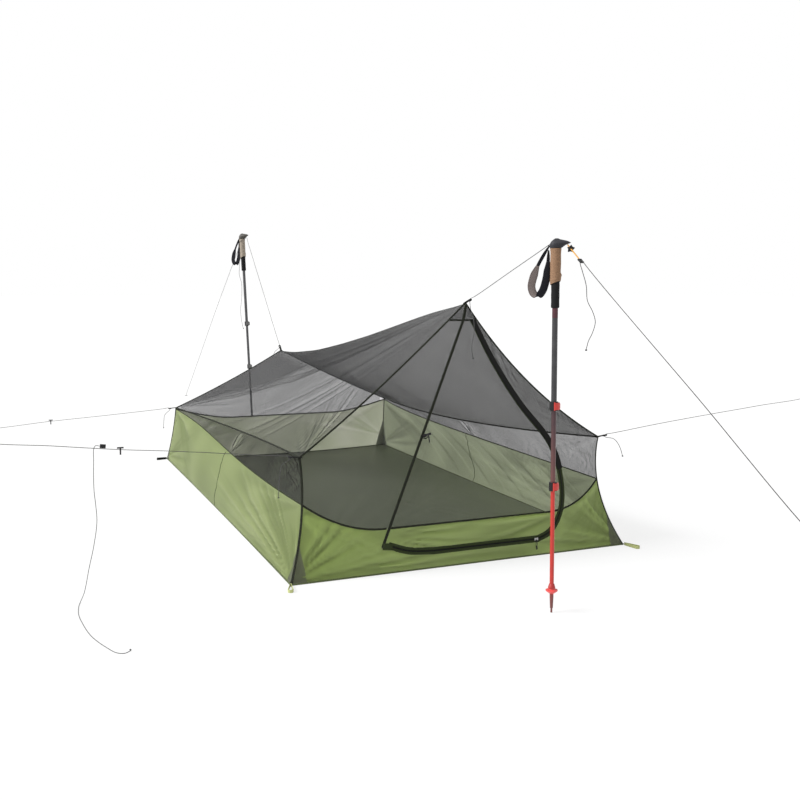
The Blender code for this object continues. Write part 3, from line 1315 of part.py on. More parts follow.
def cord_node(name, points, diameter, finish, steps=2):
    # points may be an even route's own points, with steps at 1
    data = bpy.data.curves.new(name, "CURVE")
    data.dimensions = "3D"
    data.bevel_depth = diameter / 2
    data.bevel_resolution = CORD_SIDES_LEVEL
    data.use_fill_caps = True
    spline = data.splines.new("POLY")
    points = smooth_spans(points, steps) if steps > 1 else points
    ground = (diameter + GAP) / 2
    spline.points.add(len(points) - 1)
    for slot, point in zip(spline.points, points):
        slot.co = (point[0], point[1], max(point[2], ground), 1.0)
    data.materials.append(finish)
    made = bpy.data.objects.new(name, data)
    bpy.context.collection.objects.link(made)
    return made


def adjuster_frame():
    return aim(ADJUSTER_MIDDLE, Vector(LINE_FRONT[0]) - ADJUSTER_MIDDLE)


def buckle_frame():
    # the buckle rides on top of the front left line, at a share of its second span
    inner = Vector(LINE_FRONT_LEFT[1])
    outer = Vector(LINE_FRONT_LEFT[2])
    frame = aim(inner.lerp(outer, BUCKLE_SHARE), outer - inner)
    frame.translation = frame @ Vector((0.0, 0.0, CORD_DIAMETER / 2 + 2 * GAP + ADJUSTER_WIDTH / 2))
    return frame


def head_loop_ends():
    # from just under the beak of the front pole's head, a share of the way out, to the adjuster
    sizes = POLES["front_pole"]
    seat = head_point(sizes, HEAD_LOOP_SHARE, 0.0)
    beak = math.radians(BEAK_DEGREES)
    height = neck_height("front_pole") + seat.z - LOOP_DIAMETER / 2 - 2 * GAP
    start = axis_point("front_pole", height, seat.x * math.cos(beak), seat.x * math.sin(beak))
    stop = adjuster_frame() @ Vector((-ADJUSTER_LENGTH / 2 - 2 * GAP, 0.0, 0.0))
    return start, stop


def build_cords():
    cord = material("cord", CORD, 0.8)
    for name, tail, line in (("front_left", TAIL_FRONT_LEFT, LINE_FRONT_LEFT),
                             ("front_right", TAIL_FRONT_RIGHT, LINE_FRONT_RIGHT),
                             ("rear_left", TAIL_REAR_LEFT, LINE_REAR_LEFT)):
        ahead = Vector(line[-1]) - Vector(line[-2])
        route = list(reversed(tail)) + list(reversed(lock_route(name))) + line + eye(line[-1], ahead, UP)
        cord_node("guyline_" + name, route, CORD_DIAMETER, cord)

    frame = adjuster_frame()
    half = (ADJUSTER_LENGTH - LOCK_RAIL) / 2
    through = [frame @ Vector((x, 0.0, z)) for x, z in ((0.0, -0.0055), (0.0003, 0.0), (0.0032, 0.0028),
                                                       (half, LOCK_OVER), (half + 0.03, 0.0022))]
    ahead = Vector(LINE_FRONT[-1]) - Vector(LINE_FRONT[-2])
    route = list(reversed(TAIL_ADJUSTER)) + through + LINE_FRONT + eye(LINE_FRONT[-1], ahead, UP)
    cord_node("guyline_front", route, CORD_DIAMETER, cord)

    # the rear line starts at the back of the rear pole's neck and ends in an eye on the ground
    sizes = POLES["rear_pole"]
    below = REAR_LINE_DROP / sizes["cork_length"]
    clear = cork_radius_at(sizes, 1.0 - below) + GAP + CORD_DIAMETER / 4
    start = axis_point("rear_pole", neck_height("rear_pole") - REAR_LINE_DROP, 0.0, clear)
    ahead = Vector((0.0, LINE_REAR[-1][1] - LINE_REAR[-2][1], 0.0))
    route = [start] + LINE_REAR + eye(LINE_REAR[-1], ahead, (1.0, 0.0, 0.0))
    cord_node("guyline_rear", route, CORD_DIAMETER, cord)

    # the peak lines run from the peaks' locks to the poles, each with its tails
    sizes = POLES["front_pole"]
    seat = head_point(sizes, PEAK_LINE_SHARE, math.pi / 2 - sizes["turn"])
    clear = seat.xy.length + GAP + CORD_DIAMETER / 4
    end = axis_point("front_pole", neck_height("front_pole") + seat.z, 0.0, clear)
    route = list(reversed(TAIL_FRONT_PEAK)) + list(reversed(lock_route("front_peak")))
    route += [route[-1].lerp(end, 0.5), end]
    cord_node("peak_line_front", route, CORD_DIAMETER, cord)

    # the rear one passes under the head's beak and round the neck, where its tail hangs
    sizes = POLES["rear_pole"]
    wrap = []
    for away, degrees, down in REAR_WRAP:
        angle = math.radians(degrees)
        cork = cork_radius_at(sizes, min(1.0, 1.0 - down / sizes["cork_length"]))
        out = cork + CORD_DIAMETER / 2 + 3 * GAP + away
        height = neck_height("rear_pole") - down
        wrap.append(axis_point("rear_pole", height, out * math.cos(angle), out * math.sin(angle)))
    route = list(reversed(TAIL_REAR_PEAK)) + list(reversed(lock_route("rear_peak")))
    route += [route[-1].lerp(wrap[0], 0.5), route[-1].lerp(wrap[0], 0.96)] + wrap + TAIL_REAR_POLE
    cord_node("peak_line_rear", route, CORD_DIAMETER, cord)

    # the yellow loop is tied under the front head's beak
    start, stop = head_loop_ends()
    cord_node("head_loop", [start, start.lerp(stop, 0.5), stop], LOOP_DIAMETER,
              material("yellow cord", YELLOW, 0.7), steps=4)

    start = buckle_frame() @ Vector((ADJUSTER_LENGTH / 2 + GAP + TAIL_DIAMETER / 3, 0.0, 0.0))
    cord_node("long_tail", smooth_route([start] + LONG_TAIL, LONG_TAIL_POINTS), TAIL_DIAMETER, cord, steps=1)


def extrude_outline(bm, frame, outline, thickness):
    # a flat outline in the frame's XY plane, made thick along its Z
    rings = []
    for height in (-thickness / 2, thickness / 2):
        rings.append([bm.verts.new(frame @ Vector((x, y, height))) for x, y in outline])
    bm.faces.new(list(reversed(rings[0])))
    bm.faces.new(rings[1])
    for i in range(len(outline)):
        j = (i + 1) % len(outline)
        bm.faces.new([rings[0][i], rings[0][j], rings[1][j], rings[1][i]])


def cleat_outline():
    # a T whose bar lies along the line and whose stem hangs across it
    bar = CLEAT_BAR / 2
    low = CLEAT_THICKNESS
    high = 2 * CLEAT_THICKNESS
    stem = CLEAT_THICKNESS / 2
    return [(-stem, -CLEAT_STEM), (stem, -CLEAT_STEM), (stem, low), (bar, low), (bar, high), (-bar, high),
            (-bar, low), (-stem, low)]


def add_star(bm, frame, bore):
    # a five-pointed plate square to the frame's X, with a round bore through it
    steps = 10
    rings = []
    for depth in (-CLEAT_THICKNESS / 2, CLEAT_THICKNESS / 2):
        for inner in (False, True):
            ring = []
            for step in range(steps):
                radius = STAR_RADIUS if step % 2 == 0 else STAR_RADIUS * STAR_NOTCH
                if inner:
                    radius = bore / math.cos(math.pi / steps)
                angle = 2 * math.pi * step / steps
                spot = Vector((depth, radius * math.sin(angle), radius * math.cos(angle)))
                ring.append(bm.verts.new(frame @ spot))
            rings.append(ring)
    near, near_bore, far, far_bore = rings
    for first, second in ((near, near_bore), (near_bore, far_bore), (far_bore, far), (far, near)):
        for i in range(steps):
            j = (i + 1) % steps
            bm.faces.new([first[i], first[j], second[j], second[i]])


def build_fittings():
    plastic = material("fitting plastic", WEBBING, 0.5)
    bm = bmesh.new()
    add_window(bm, adjuster_frame(), 0.0, ADJUSTER_LENGTH, ADJUSTER_WIDTH, LOCK_THICKNESS, LOCK_RAIL)
    place("line_adjuster", bm, plastic, origin=ADJUSTER_MIDDLE)

    # the loop runs through the star
    start, stop = head_loop_ends()
    frame = aim(start.lerp(stop, STAR_SHARE), stop - start)
    bm = bmesh.new()
    add_star(bm, frame, LOOP_DIAMETER / 2 + GAP)
    place("star_cleat", bm, plastic, origin=frame.translation)

    for name, line in (("front_left", LINE_FRONT_LEFT), ("rear_left", LINE_REAR_LEFT)):
        spot = Vector(line[1]) - Vector((0.0, CORD_DIAMETER / 2 + CLEAT_THICKNESS / 2 + 2 * GAP, 0.0))
        frame = Matrix.Translation(spot) @ Matrix.Rotation(math.pi / 2, 4, "X")
        bm = bmesh.new()
        extrude_outline(bm, frame, cleat_outline(), CLEAT_THICKNESS)
        place("cleat_" + name, bm, plastic, origin=spot)

    # a small solid buckle that the long tail leaves at its outer end
    frame = buckle_frame()
    bm = bmesh.new()
    add_block(bm, (ADJUSTER_LENGTH, BUCKLE_THICKNESS, ADJUSTER_WIDTH), frame)
    place("tail_buckle", bm, plastic, origin=frame.translation)


def main():
    clear_scene()
    build_floor()
    for side, word in ((-1, "left"), (1, "right")):
        build_side(side, word)
    build_rear()
    build_roof()
    build_front()
    build_door()
    build_zip()
    build_seams()
    build_stake_loops()
    for name, sizes in POLES.items():
        build_pole(name, sizes)
    build_cords()
    build_fittings()


main()
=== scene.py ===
import math
import random

import bmesh
import bpy
import numpy as np
from mathutils import Matrix, Vector, bvhtree, geometry, noise


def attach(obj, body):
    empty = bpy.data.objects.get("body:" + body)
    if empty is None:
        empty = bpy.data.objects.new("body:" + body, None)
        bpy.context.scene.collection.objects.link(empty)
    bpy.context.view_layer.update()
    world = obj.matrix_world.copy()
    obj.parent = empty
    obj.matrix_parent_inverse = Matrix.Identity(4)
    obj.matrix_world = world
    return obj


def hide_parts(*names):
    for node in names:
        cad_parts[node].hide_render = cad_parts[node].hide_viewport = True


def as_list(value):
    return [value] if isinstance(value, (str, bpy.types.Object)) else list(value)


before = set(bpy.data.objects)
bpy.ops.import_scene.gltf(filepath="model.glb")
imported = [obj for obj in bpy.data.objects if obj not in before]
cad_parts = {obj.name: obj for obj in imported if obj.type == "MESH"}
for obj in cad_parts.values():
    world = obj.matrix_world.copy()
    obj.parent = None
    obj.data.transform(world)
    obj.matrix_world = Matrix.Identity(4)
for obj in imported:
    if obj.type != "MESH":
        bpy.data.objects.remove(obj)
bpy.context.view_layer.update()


# The pitched shelter's own sizes, in metres, as the frame was built
shelter = {
    "floorLength": 2.130, "frontWidth": 1.210, "rearWidth": 1.169, "sideBow": 0.005, "rearBow": 0.070,
    "frontCorner": (0.547, -0.974, 0.372), "rearCorner": (0.552, 0.9795, 0.268),
    "frontPeak": (0.0, -1.0025, 0.843), "rearPeak": (0.0, 1.040, 0.532),
    "frontCornerBow": 0.029, "rearCornerBow": 0.005, "eaveDrop": 0.020, "eaveBow": 0.067,
    "sideBulge": 0.062, "ridgeDrop": 0.040, "frontEdgeDrop": 0.034, "frontEdgeBow": 0.041,
    "rearEdgeDrop": 0.008, "rearEdgeBow": 0.010, "roofCrease": 0.62,
    # height, rise, flat half, power
    "frontCloth": (0.143, 0.085, 0.300, 2.2), "rearCloth": (0.203, 0.060, 0.270, 1.6),
    "sideClothDrop": 0.0525, "rearMeet": 0.975, "sideNetEnd": 0.86, "rearNetShare": 0.955,
    "patchHeight": 0.790,
}
frontY, rearY = -shelter["floorLength"] / 2, shelter["floorLength"] / 2
frontCorner, rearCorner, frontPeak, rearPeak = [
    Vector(shelter[word]) for word in ("frontCorner", "rearCorner", "frontPeak", "rearPeak")]
door = {
    "hingeLow": (-0.300, 0.097), "hingeTopX": -0.009, "zipBottom": 0.057, "straightLeft": -0.130,
    "straightRight": 0.258, "side": (0.365, 0.215), "corner": (0.336, 0.112), "zipTopX": 0.026,
    "tapeWidth": 0.011, "tapeThickness": 0.0009, "coilRadius": 0.0011, "toothPitch": 0.0023,
    "flap": (-0.0085, 0.0125), "flapEnd": 0.27, "toggleHeight": 0.425, "sliderX": 0.2505,
}
upward = Vector((0.0, 0.0, 1.0))


# Shape of the pitched cloth

def lerp(a, b, share):
    return a + (b - a) * share


def clamp(value, low=0.0, high=1.0):
    return max(low, min(high, value))


def hump(share):
    return 4.0 * share * (1.0 - share)       # 0 at both ends, 1 in the middle


def seamAt(side, share, width, y, corner, bow, inward):
    bow *= hump(share)
    return Vector((side * (lerp(width / 2, corner.x, share) - bow), lerp(y, corner.y, share) + inward * bow,
                   corner.z * share))


def frontCornerSeam(side, share):
    return seamAt(side, share, shelter["frontWidth"], frontY, frontCorner, shelter["frontCornerBow"], 1)


def rearCornerSeam(side, share):
    return seamAt(side, share, shelter["rearWidth"], rearY, rearCorner, shelter["rearCornerBow"], -1)


def floorSide(side, share):
    half = lerp(shelter["frontWidth"], shelter["rearWidth"], share) / 2 - shelter["sideBow"] * hump(share)
    return Vector((side * half, lerp(frontY, rearY, share), 0.0))


def eave(side, share):
    half = lerp(frontCorner.x, rearCorner.x, share) - shelter["eaveBow"] * hump(share)
    return Vector((side * half, lerp(frontCorner.y, rearCorner.y, share),
                   lerp(frontCorner.z, rearCorner.z, share) - shelter["eaveDrop"] * hump(share)))


def edgeAt(side, share, peak, corner, bow, drop):
    return Vector((side * corner.x * share, lerp(peak.y, corner.y, share) + bow * hump(share),
                   lerp(peak.z, corner.z, share) - drop * hump(share)))


def frontEdge(side, share):
    return edgeAt(side, share, frontPeak, frontCorner, shelter["frontEdgeBow"], shelter["frontEdgeDrop"])


def rearEdge(side, share):
    return edgeAt(side, share, rearPeak, rearCorner, -shelter["rearEdgeBow"], shelter["rearEdgeDrop"])


def ridgeHeight(share):
    return lerp(frontPeak.z, rearPeak.z, share) - shelter["ridgeDrop"] * 6.75 * share ** 2 * (1 - share)


def edgeAtHeight(curve, height):
    low, high = 0.0, 1.0         # the edge comes down as its share grows
    for _ in range(26):
        middle = (low + high) / 2
        if curve(1, middle).z < height:
            high = middle
        else:
            low = middle
    return curve(1, (low + high) / 2)


def roofPoint(x, y):
    along = clamp((y - frontCorner.y) / (rearCorner.y - frontCorner.y))
    across = clamp(abs(x) / eave(1, along).x)
    front, rear = frontEdge(1, across), rearEdge(1, across)
    back = clamp((y - front.y) / (rear.y - front.y))
    height = (lerp(ridgeHeight(back), eave(1, back).z, across) + lerp(front.z, rear.z, back)
              - lerp(lerp(frontPeak.z, rearPeak.z, back), lerp(frontCorner.z, rearCorner.z, back), across))
    twist = frontPeak.z - rearPeak.z - frontCorner.z + rearCorner.z
    height += shelter["roofCrease"] * twist * min(back, across) * (1 - max(back, across))
    return Vector((x, y, height))


def sidePoint(side, y, z):
    front = frontCornerSeam(side, clamp(z / frontCorner.z)).y
    rear = rearCornerSeam(side, clamp(z / rearCorner.z)).y
    back = clamp((y - front) / (rear - front))
    top = eave(1, back)
    up = clamp(z / top.z)
    bow = lerp(shelter["frontCornerBow"], shelter["rearCornerBow"], back) - shelter["sideBulge"] * hump(back)
    return Vector((side * (lerp(floorSide(1, back).x, top.x, up) - bow * hump(up)), y, z))


def hingeX(z):
    lowX, lowZ = door["hingeLow"]
    return lerp(lowX, door["hingeTopX"], (z - lowZ) / (shelter["patchHeight"] - lowZ))


def outlineAt(z, seam, edge, corner, peak):
    return seam(1, max(0.0, z) / corner.z) if z <= corner.z else edgeAtHeight(edge, min(z, peak.z))


outlineMemory = {}


def frontOutlineAt(z):
    key = round(z, 5)
    if key not in outlineMemory:
        outlineMemory[key] = outlineAt(z, frontCornerSeam, frontEdge, frontCorner, frontPeak)
    return outlineMemory[key]


def frontPoint(x, z):
    flatY = lerp(frontY, frontPeak.y, z / frontPeak.z)
    edge = frontOutlineAt(z)
    flatHalf = min(abs(hingeX(z)), edge.x * 0.9)
    share = clamp((abs(x) - flatHalf) / max(edge.x - flatHalf, 1e-6), 0.0, 1.2)
    return Vector((x, flatY + (edge.y - flatY) * share ** 1.5, z))


def rearPoint(x, z):
    middleY = lerp(rearY - shelter["rearBow"], rearPeak.y, z / rearPeak.z)
    edge = outlineAt(z, rearCornerSeam, rearEdge, rearCorner, rearPeak)
    share = clamp(abs(x) / max(edge.x, 1e-6), 0.0, 1.2)
    return Vector((x, middleY + (edge.y - middleY) * share ** 2, z))


def clothTop(x, cloth, corner):
    height, rise, flat, power = shelter[cloth]
    return height + rise * max(0.0, (abs(x) - flat) / (corner.x - flat)) ** power


def frontClothTop(x):
    return clothTop(x, "frontCloth", frontCorner)


frontMeet = 0.6                    # where the cloth's top seam meets the front corner seam
for _ in range(30):
    frontMeet = frontClothTop(frontCornerSeam(1, frontMeet).x) / frontCorner.z


def sideClothPoint(side, share):
    low, high = frontCornerSeam(1, frontMeet).z, rearCornerSeam(1, shelter["rearMeet"]).z
    z = lerp(low, high, share) - shelter["sideClothDrop"] * share * (1 - share)
    front = frontCornerSeam(side, z / frontCorner.z).y
    rear = rearCornerSeam(side, min(1.0, z / rearCorner.z)).y
    return sidePoint(side, lerp(front, rear, share), z)


# Smooth routes through chosen points

def splinePoint(a, b, c, d, share):
    knots = [0.0]
    for p, q in ((a, b), (b, c), (c, d)):
        knots.append(knots[-1] + math.sqrt(max((q - p).length, 1e-7)))
    t = lerp(knots[1], knots[2], share)
    mix = lambda p, q, low, high: p.lerp(q, (t - knots[low]) / (knots[high] - knots[low]))
    ab, bc, cd = mix(a, b, 0, 1), mix(b, c, 1, 2), mix(c, d, 2, 3)
    return mix(mix(ab, bc, 0, 2), mix(bc, cd, 1, 3), 1, 2)


def smoothSpans(points, steps):
    points = [Vector(p) for p in points]
    ends = [points[0] * 2 - points[1]] + points + [points[-1] * 2 - points[-2]]
    samples = [splinePoint(*ends[index - 1:index + 3], step / steps)
               for index in range(1, len(ends) - 2) for step in range(steps)]
    return samples + [points[-1]]


def pathLength(points):
    return sum((q - p).length for p, q in zip(points, points[1:]))


def evenly(points, spacing):
    # points spaced evenly along a run of points
    total = pathLength(points)
    count = max(2, round(total / spacing) + 1)
    route, at, gone = [], 0, 0.0
    for index in range(count):
        want = total * index / (count - 1)
        while at < len(points) - 2 and gone + (points[at + 1] - points[at]).length < want:
            gone += (points[at + 1] - points[at]).length
            at += 1
        step = max((points[at + 1] - points[at]).length, 1e-9)
        route.append(points[at].lerp(points[at + 1], clamp((want - gone) / step)))
    return route


def spread(low, high, count):
    return [lerp(low, high, index / (count - 1)) for index in range(count)]


def between(start, end, count):
    return [start.lerp(end, share) for share in spread(0.0, 1.0, count)]


def along(curve, side, low, high, count):
    return [curve(side, share) for share in spread(low, high, count)]


# Materials: a paint holds a node tree, and each of its functions adds a node and gives back its output

def addNode(tree, kind, inputs, output=0, **settings):
    made = tree.nodes.new(kind)
    for word, value in settings.items():
        setattr(made, word, value)
    setInputs(tree, made, inputs)
    return made.outputs[output]


def setInputs(tree, node, inputs):
    for slot, value in inputs.items():
        if isinstance(value, bpy.types.NodeSocket):
            tree.links.new(value, node.inputs[slot])
        else:
            node.inputs[slot].default_value = value


class Paint:
    def __init__(self, name, colour, roughness, **sockets):
        self.material = bpy.data.materials.new(name)
        self.material.use_nodes = True
        self.material.diffuse_color = (*colour, 1.0)
        self.colour, self.roughness = colour, roughness
        self.tree = self.material.node_tree
        self.set({"Base Color": (*colour, 1.0), "Roughness": roughness})
        self.set({word.replace("_", " "): value for word, value in sockets.items()})

    def set(self, inputs, name="Principled BSDF"):
        setInputs(self.tree, self.tree.nodes[name], inputs)

    def add(self, kind, inputs, output=0, **settings):
        return addNode(self.tree, "ShaderNode" + kind, inputs, output, **settings)

    def space(self, source="UV", scale=(1.0, 1.0, 1.0)):
        # the object's metres or the piece's own UV map, scaled
        return self.add("Mapping", {"Scale": scale, "Vector": self.add("TexCoord", {}, source)})

    def noise(self, space, scale, detail=3.0, roughness=0.55):
        return self.add("TexNoise", {"Scale": scale, "Detail": detail, "Roughness": roughness, "Vector": space}, "Fac")

    def wave(self, space, scale, way="X"):
        return self.add("TexWave", {"Scale": scale, "Distortion": 0.0, "Vector": space}, "Fac", bands_direction=way)

    def sum(self, first, second, kind="ADD"):
        return self.add("Math", {0: first, 1: second}, operation=kind)

    def times(self, first, second):
        return self.sum(first, second, "MULTIPLY")

    def most(self, first, second):
        return self.sum(first, second, "MAXIMUM")

    def fit(self, value, low, high, toLow=0.0, toHigh=1.0):
        return self.add("MapRange", {"From Min": low, "From Max": high, "To Min": toLow, "To Max": toHigh,
                                     "Value": value}, "Result")

    def blend(self, factor, dark, light):
        return self.add("Mix", {"A": (*dark, 1.0), "B": (*light, 1.0), "Factor": factor}, "Result", data_type="RGBA")

    def tint(self, factor, dark, light):
        # the base colour runs from dark to light, each a colour or a share of the paint's own
        dark, light = [c if isinstance(c, tuple) else scaled(self.colour, c) for c in (dark, light)]
        self.set({"Base Color": self.blend(factor, dark, light)})

    def bump(self, height, distance, strength=1.0, **before):
        made = self.add("Bump", {"Distance": distance, "Strength": strength, "Height": height, **before})
        self.set({"Normal": made})
        return made

    def rub(self, scratch, below=0.08, above=0.12):
        self.set({"Roughness": self.fit(scratch, 0.3, 0.7, self.roughness - below, self.roughness + above)})

    def mixIn(self, shader, share):
        self.set({"Surface": self.add("MixShader", {0: share, 1: self.tree.nodes["Principled BSDF"].outputs[0],
                                                    2: shader})}, "Material Output")


def scaled(colour, factor):
    return tuple(min(1.0, c * factor) for c in colour)


def clothFinish(name, colour, look):
    # thin coated ripstop: a fine weave, a thicker thread every few millimetres, soft patches of tone, and painted
    # shade and light along the creases, darker in their hollows and lighter on their ridges
    paint = Paint(name, colour, look["roughness"], Alpha=look["alpha"], Sheen_Weight=0.1)
    plan = paint.space()
    patch = paint.noise(plan, 5.0, 4.0)
    grid = paint.most(*[paint.sum(paint.wave(plan, look["gridScale"], way), 14.0, "POWER") for way in "XY"])
    height = look["foldHeight"]
    # painted shade and light: each point's crease height darkens the colour in hollows and lightens it on ridges
    fold = paint.fit(paint.add("Attribute", {}, "Fac", attribute_name="crease"), -height, height)
    tone = paint.sum(paint.fit(patch, 0.3, 0.7, 0.2, 0.8), paint.times(grid, look["gridTone"]))
    paint.tint(paint.sum(tone, paint.times(look["foldShadeTone"], paint.sum(fold, 0.5, "SUBTRACT"))), 0.88, 1.1)
    first = paint.bump(paint.noise(plan, look["creaseScale"], 5.0, 0.6), look["creaseDepth"], 0.6)
    paint.bump(grid, 0.00008, 0.5, Normal=first)
    # painted shade and light also in the light through the cloth, by the same crease height
    ends = [scaled(look["glow"], 1.0 + share * look["foldShadeGlow"]) for share in (-1.0, 1.0)]
    paint.mixIn(paint.add("BsdfTranslucent", {"Color": paint.blend(fold, *ends)}), look["through"])
    return paint.material


def nettingFinish(name, look):
    # open netting: part of each face is see-through, and the thin solid between the faces absorbs
    # more along a slanting path, so that it looks denser where it is seen edge on
    paint = Paint(name, look["colour"], 0.75)
    plan = paint.space()
    strand = paint.most(*[paint.wave(plan, 260.0, way) for way in "XY"])
    cloud = paint.noise(plan, 7.0, 3.0)
    cover = paint.sum(paint.fit(strand, 0.3, 1.0, look["open"], look["closed"]),
                      paint.fit(cloud, 0.3, 0.7, -look["cloud"], look["cloud"]))
    tone = cloud
    # painted shade on the roof: the right slope and a triangle at the left slope's rear get more cover and a darker
    # colour
    if look["rightShadeCover"]:
        x, y = [paint.add("SeparateXYZ", {"Vector": plan}, way) for way in "XY"]
        right = paint.fit(x, -0.03, 0.03)
        cover = paint.sum(cover, paint.times(right, look["rightShadeCover"]))
        rear = paint.times(*[paint.fit(paint.sum(paint.times(x, xShare), paint.times(y, yShare)), -constant - 0.03,
                                       -constant + 0.03) for xShare, yShare, constant in look["rearLines"]])
        cover = paint.sum(cover, paint.times(look["rearShadeCover"], rear))
        tone = paint.sum(paint.fit(cloud, 0.3, 0.7, 0.8, 1.0), paint.most(rear, paint.times(right, 0.7)), "SUBTRACT")
    paint.set({"Alpha": cover})
    paint.tint(tone, look["cloudAndShadeDark"], 1.15)
    absorb = paint.add("VolumeAbsorption", {"Color": (0.0, 0.0, 0.0, 1.0), "Density": look["density"]})
    paint.set({"Volume": absorb}, "Material Output")
    return paint.material


def wovenFinish(name, colour, ribScale, sheen=0.0, gloss=0.5, roughness=0.8):
    # webbing, binding and tape: close ribs with a crossing yarn, on the piece's own UV map in metres
    paint = Paint(name, colour, roughness, Sheen_Weight=sheen, Specular_IOR_Level=gloss)
    plan = paint.space()
    rib = paint.wave(plan, ribScale, "Y")
    weave = paint.times(rib, paint.fit(paint.wave(plan, ribScale * 1.7), 0.0, 1.0, 0.55, 1.0))
    fuzz = paint.noise(plan, 900.0, 2.0)
    paint.tint(paint.sum(paint.times(weave, 0.75), paint.times(fuzz, 0.25)), 0.6, 1.35)
    paint.bump(weave, 0.00025)
    return paint.material


def cordFinish(name, colour):
    # a braided sheath: two sets of strands that cross as they wind, on UV turns and metres
    paint = Paint(name, colour, 0.75, Sheen_Weight=0.1, Specular_IOR_Level=0.2)
    braid = paint.most(*[paint.wave(paint.space("UV", (turns, 420.0, 1.0)), 0.5, "DIAGONAL") for turns in (3.0, -3.0)])
    paint.tint(braid, 0.55, 1.15)
    paint.bump(braid, 0.0002)
    return paint.material


def mouldedFinish(name, colour, roughness=0.45, grain=2400.0, **sockets):
    # moulded plastic or rubber with a fine spark-eroded grain and slight handling marks
    paint = Paint(name, colour, roughness, **sockets)
    space = paint.space("Object")
    broad = paint.noise(space, 60.0, 4.0)
    paint.tint(broad, 0.8, 1.25)
    paint.rub(broad, above=0.1)
    paint.bump(paint.noise(space, grain, 2.0), 0.00006)
    return paint.material


def corkFinish(name, colour, dark):
    # pressed cork: fine granules of many browns with darker pits
    paint = Paint(name, colour, 0.8)
    space = paint.space("Object")
    cells = paint.add("TexVoronoi", {"Scale": 330.0, "Vector": space}, "Distance")
    speck, cloud = paint.noise(space, 420.0, 3.0), paint.noise(space, 45.0, 3.0)
    mixed = paint.sum(paint.times(cells, 0.6), paint.times(paint.sum(speck, cloud), 0.36))
    paint.tint(paint.fit(mixed, 0.25, 0.75), dark, colour)
    paint.bump(paint.fit(speck, 0.36, 0.46), 0.0003, 0.7)
    return paint.material


def foamFinish(name, colour):
    paint = Paint(name, colour, 0.85, Sheen_Weight=0.03, Specular_IOR_Level=0.15)
    pores = paint.noise(paint.space("Object"), 1300.0, 2.0)
    paint.tint(pores, 0.6, 1.6)
    paint.bump(pores, 0.0002)
    return paint.material


def metalFinish(name, colour, roughness, metallic):
    # drawn and anodised tube: faint scratches, brighter where it has rubbed
    paint = Paint(name, colour, roughness, Metallic=metallic)
    scratch = paint.noise(paint.space("Object", (1.0, 1.0, 0.12)), 700.0, 4.0, 0.65)
    paint.tint(paint.fit(paint.noise(paint.space("Object"), 26.0, 5.0), 0.35, 0.7), 0.85, 1.25)
    paint.rub(scratch)
    paint.bump(scratch, 0.00002)
    return paint.material


def shaftFinish(name, low, high, heights, roughness=0.38, metallic=0.35):
    # painted tube whose colour changes between two heights, with faint scratches
    paint = Paint(name, high, roughness, Metallic=metallic)
    rise = paint.fit(paint.add("SeparateXYZ", {"Vector": paint.add("TexCoord", {}, "Object")}, "Z"), *heights)
    scratch = paint.noise(paint.space("Object", (1.0, 1.0, 0.1)), 650.0, 4.0, 0.65)
    grain = paint.noise(paint.space("Object"), 30.0, 5.0)
    paint.tint(paint.sum(rise, paint.fit(grain, 0.3, 0.7, -0.14, 0.14)), low, high)
    paint.rub(scratch, 0.07)
    paint.bump(scratch, 0.00002)
    return paint.material


# the fold tone and fold glow are painted shade and light along the creases
clothLook = {"roughness": 0.5, "alpha": 0.96, "gridScale": 32.0, "gridTone": 0.25, "creaseScale": 26.0,
             "creaseDepth": 0.0016, "through": 0.66, "glow": (0.925, 0.962, 0.80),
             "foldHeight": 0.0040, "foldShadeTone": 1.9, "foldShadeGlow": 0.15}
nettingLook = {"colour": (0.07, 0.07, 0.072), "open": 0.090, "closed": 0.150, "cloud": 0.015, "density": 225.0,
               "rightShadeCover": 0.0, "cloudAndShadeDark": 0.85}
# painted shade on the roof: the right slope and a triangle at the left slope's rear get more cover and a darker tone,
# though the net is the same all over; each zone is a cover with the lines (x share, y share, constant) that bound it
# in the plan
roofLook = dict(nettingLook, open=0.13, closed=0.18, density=120.0, rightShadeCover=0.22, rearShadeCover=0.34, cloudAndShadeDark=0.45,
                rearLines=((0.889, 0.459, 0.023), (-0.989, 0.147, -0.153)))
clothPaints = {
    "wall": ("wallCloth", (0.262, 0.325, 0.112), {}),
    # painted shade: a darker, less glowing copy of the wall cloth for the right wall
    "shadedRightWall": ("shadedRightWallCloth", (0.205, 0.25, 0.10), {"glow": (0.81, 0.845, 0.715)}),
    # painted shade: a darker copy of the wall cloth for the front wall and the door's skirt, which face away from the
    # sun
    "shadedFrontWall": ("shadedFrontWallCloth", (0.205, 0.27, 0.07), {"through": 0.60, "glow": (0.80, 0.87, 0.60)}),
    "floor": ("floorCloth", (0.165, 0.19, 0.115), {"roughness": 0.45, "alpha": 1.0, "creaseScale": 14.0,
              "creaseDepth": 0.0012, "through": 0.15, "glow": (0.4, 0.45, 0.3)}),
    "patch": ("cornerPatch", (0.11, 0.12, 0.075), {"through": 0.5, "glow": (0.78, 0.80, 0.72)}),
    "innerPatch": ("innerPatch", (0.46, 0.48, 0.44), {"through": 0.3, "glow": (0.8, 0.8, 0.76)}),
}
